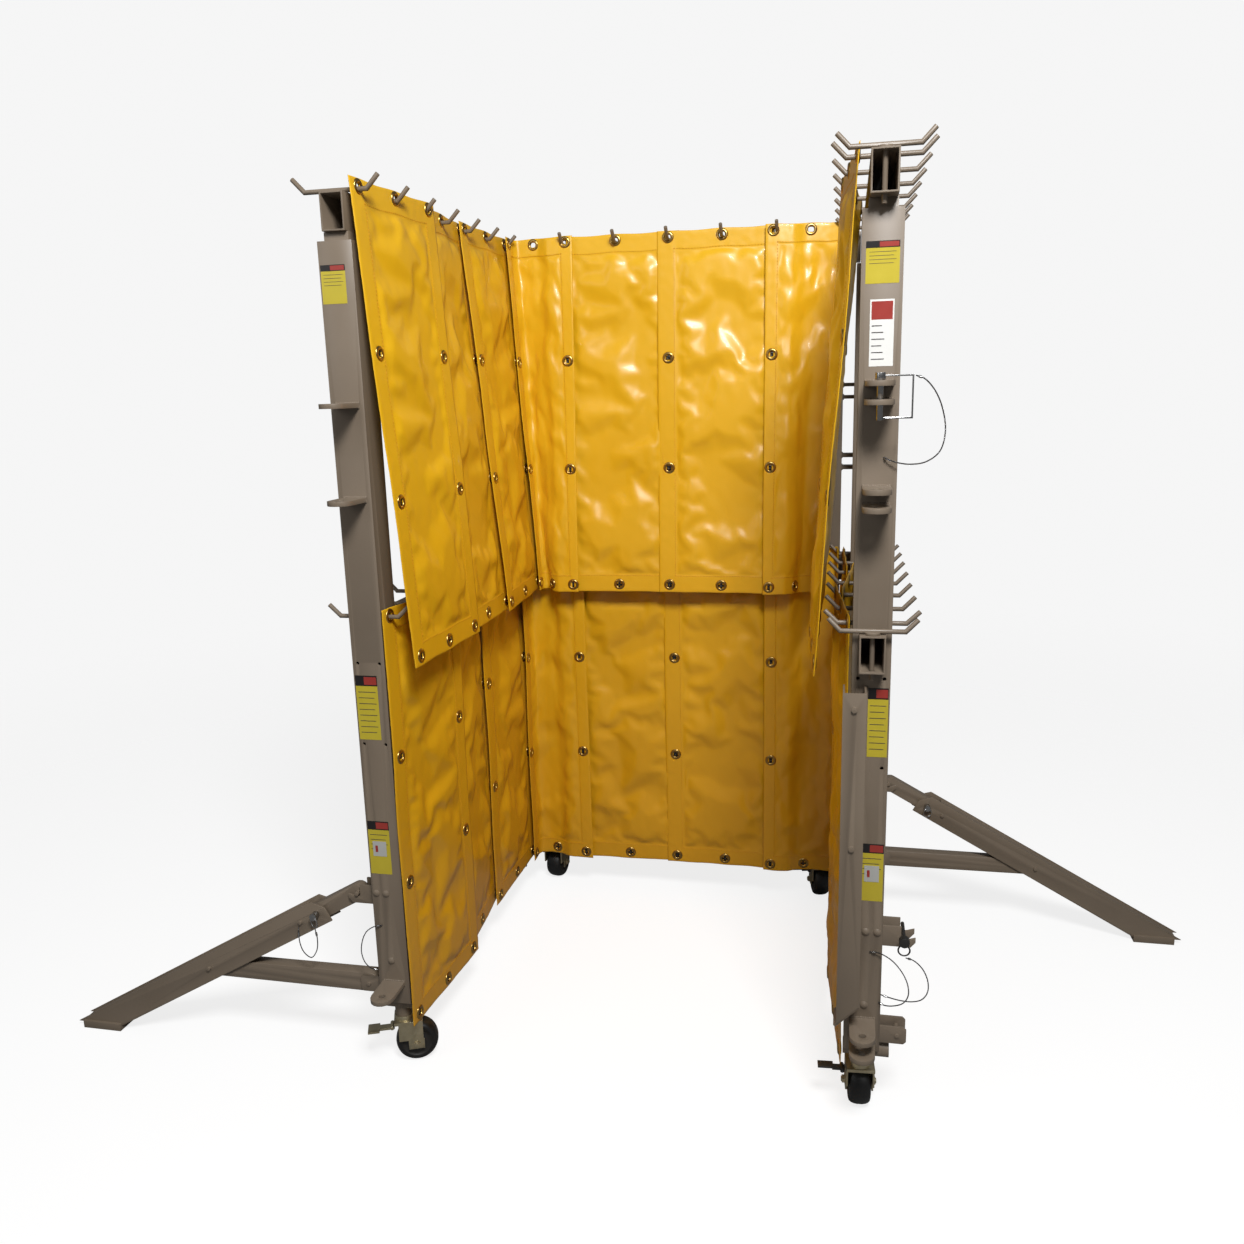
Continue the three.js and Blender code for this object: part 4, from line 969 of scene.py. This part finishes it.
# %% [markdown]
# The front posts carry printed film labels. Each is a thin plate with plain fields: a dark header with a
# red block and a yellow or white field with a few plain bars, and no lettering.
# %% Labels
def label(name, body, x0, x1, z0, z1, style):
    y = FRONT_POST_Y - POST_HALF - 0.0001
    film = {
        "black": label_black, "red": label_red, "yellow": label_yellow, "white": label_white,
        "grey": label_grey, "ink": label_ink
    }
    mesh = bpy.data.meshes.new(name)
    shell = bmesh.new()
    order = list(film)

    def field(u0, u1, v0, v1, colour, lift):
        a, b = x0 + (x1 - x0) * u0, x0 + (x1 - x0) * u1
        c, d = z0 + (z1 - z0) * v0, z0 + (z1 - z0) * v1
        box = bmesh.ops.create_cube(shell, size=1.0)["verts"]
        for corner in box:
            corner.co = Vector((
                a + (b - a) * (corner.co.x + 0.5),
                y - lift * 0.00025 * (0.5 - corner.co.y),
                c + (d - c) * (corner.co.z + 0.5),
            ))
        for face in {f for corner in box for f in corner.link_faces}:
            face.material_index = order.index(colour)

    if style == "plate":
        field(0, 1, 0, 1, "white", 1)
        field(0.06, 0.94, 0.70, 0.97, "red", 2)
        for k in range(6):
            field(0.08, 0.5 + 0.06 * (k % 3), 0.60 - k * 0.10, 0.615 - k * 0.10, "ink", 2)
    else:
        field(0, 1, 0, 1, "yellow", 1)
        field(0, 1, 0.84, 1, "black", 2)
        field(0.40, 0.97, 0.86, 0.98, "red", 3)
        for k in range(8 if style == "tall" else 4):
            field(0.10, 0.90 - 0.08 * (k % 2), 0.74 - k * 0.09, 0.75 - k * 0.09, "ink", 2)
        if style == "patch":
            field(0.18, 0.82, 0.34, 0.62, "grey", 3)
            field(0.30, 0.42, 0.42, 0.54, "red", 4)
    bmesh.ops.recalc_face_normals(shell, faces=shell.faces)
    shell.to_mesh(mesh)
    shell.free()
    piece = put(name, mesh)
    for colour in film:
        mesh.materials.append(film[colour])
    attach(piece, body)


label("right_upper_label", "right_wing", 0.5140, 0.5750, 1.772, 1.847, "short")
label("right_name_plate", "right_wing", 0.5240, 0.5680, 1.623, 1.744, "plate")
label("right_middle_label", "right_wing", 0.5390, 0.5790, 0.848, 0.994, "tall")
label("right_lower_label", "right_wing", 0.5320, 0.5790, 0.528, 0.657, "patch")
label("left_upper_label", "left_wing", -0.5790, -0.5250, 1.781, 1.858, "short")
label("left_middle_label", "left_wing", -0.5790, -0.5270, 0.835, 0.985, "tall")
label("left_lower_label", "left_wing", -0.5790, -0.5270, 0.506, 0.637, "patch")

# %% [markdown]
# A pale floor, a bright backdrop and two large lamps light the screen: a key lamp high in front on the
# right, and a weaker one on the left. The light falls off towards the floor.
# %% Floor and light
floor_material = bpy.data.materials.new("pale_studio_floor")
floor_material.use_nodes = True
floor_tree = floor_material.node_tree
floor_shader = floor_tree.nodes["Principled BSDF"]
floor_shader.inputs["Base Color"].default_value = linear("#898989")
floor_shader.inputs["Roughness"].default_value = 0.9
# The floor glows to the camera only, so its shadows stay faint and it lights nothing by itself.
glow = add_node(
    floor_tree, "ShaderNodeMath", {"operation": "MULTIPLY"},
    _0=add_node(floor_tree, "ShaderNodeLightPath").outputs["Is Camera Ray"]
)
glow.inputs[1].default_value = 0.80
floor_shader.inputs["Emission Color"].default_value = (1, 1, 1, 1)
floor_tree.links.new(glow.outputs["Value"], floor_shader.inputs["Emission Strength"])
# The floor fades out with distance, so no horizon shows.
floor_place = add_node(floor_tree, "ShaderNodeTexCoord").outputs["Object"]
distance = add_node(floor_tree, "ShaderNodeVectorMath", {"operation": "LENGTH"}, _0=floor_place)
fade = add_node(
    floor_tree, "ShaderNodeMapRange", {"interpolation_type": "SMOOTHSTEP"},
    Value=distance.outputs["Value"]
)
fade.inputs["From Min"].default_value = 1.2
fade.inputs["From Max"].default_value = 5.5
clear = add_node(floor_tree, "ShaderNodeBsdfTransparent")
blend_floor = add_node(
    floor_tree, "ShaderNodeMixShader", Fac=fade.outputs["Result"], _1=floor_shader.outputs["BSDF"],
    _2=clear.outputs["BSDF"]
)
floor_tree.links.new(blend_floor.outputs["Shader"], floor_tree.nodes["Material Output"].inputs["Surface"])
floor_mesh = bpy.data.meshes.new("floor")
floor_mesh.from_pydata(
    [(-40, -40, -0.0005), (40, -40, -0.0005), (40, 60, -0.0005), (-40, 60, -0.0005)], [], [(0, 1, 2, 3)]
)
floor = put("floor", floor_mesh, floor_material)

world = bpy.data.worlds.new("studio")
bpy.context.scene.world = world
world.use_nodes = True
# The backdrop is brighter to the camera than the light it gives, so that the screen keeps its contrast.
seen = add_node(world.node_tree, "ShaderNodeLightPath").outputs["Is Camera Ray"]
strength = add_node(world.node_tree, "ShaderNodeMapRange", Value=seen)
strength.inputs["To Min"].default_value = 0.15
strength.inputs["To Max"].default_value = 0.92
world.node_tree.nodes["Background"].inputs["Color"].default_value = (1, 1, 1, 1)
world.node_tree.links.new(
    strength.outputs["Result"], world.node_tree.nodes["Background"].inputs["Strength"]
)
bpy.context.scene.view_settings.view_transform = "Standard"


def lamp(name, at, aim, size, power):
    light = bpy.data.lights.new(name, "AREA")
    light.size = size
    light.energy = power
    made = bpy.data.objects.new(name, light)
    made.location = at
    made.rotation_euler = (Vector(aim) - Vector(at)).to_track_quat("-Z", "Y").to_euler()
    bpy.context.scene.collection.objects.link(made)


lamp("key", (1.0, -2.7, 3.8), (0.0, 0.1, 1.6), 0.9, 160)
lamp("fill", (-2.6, -3.2, 3.0), (0, 0.2, 1.2), 1.8, 20)
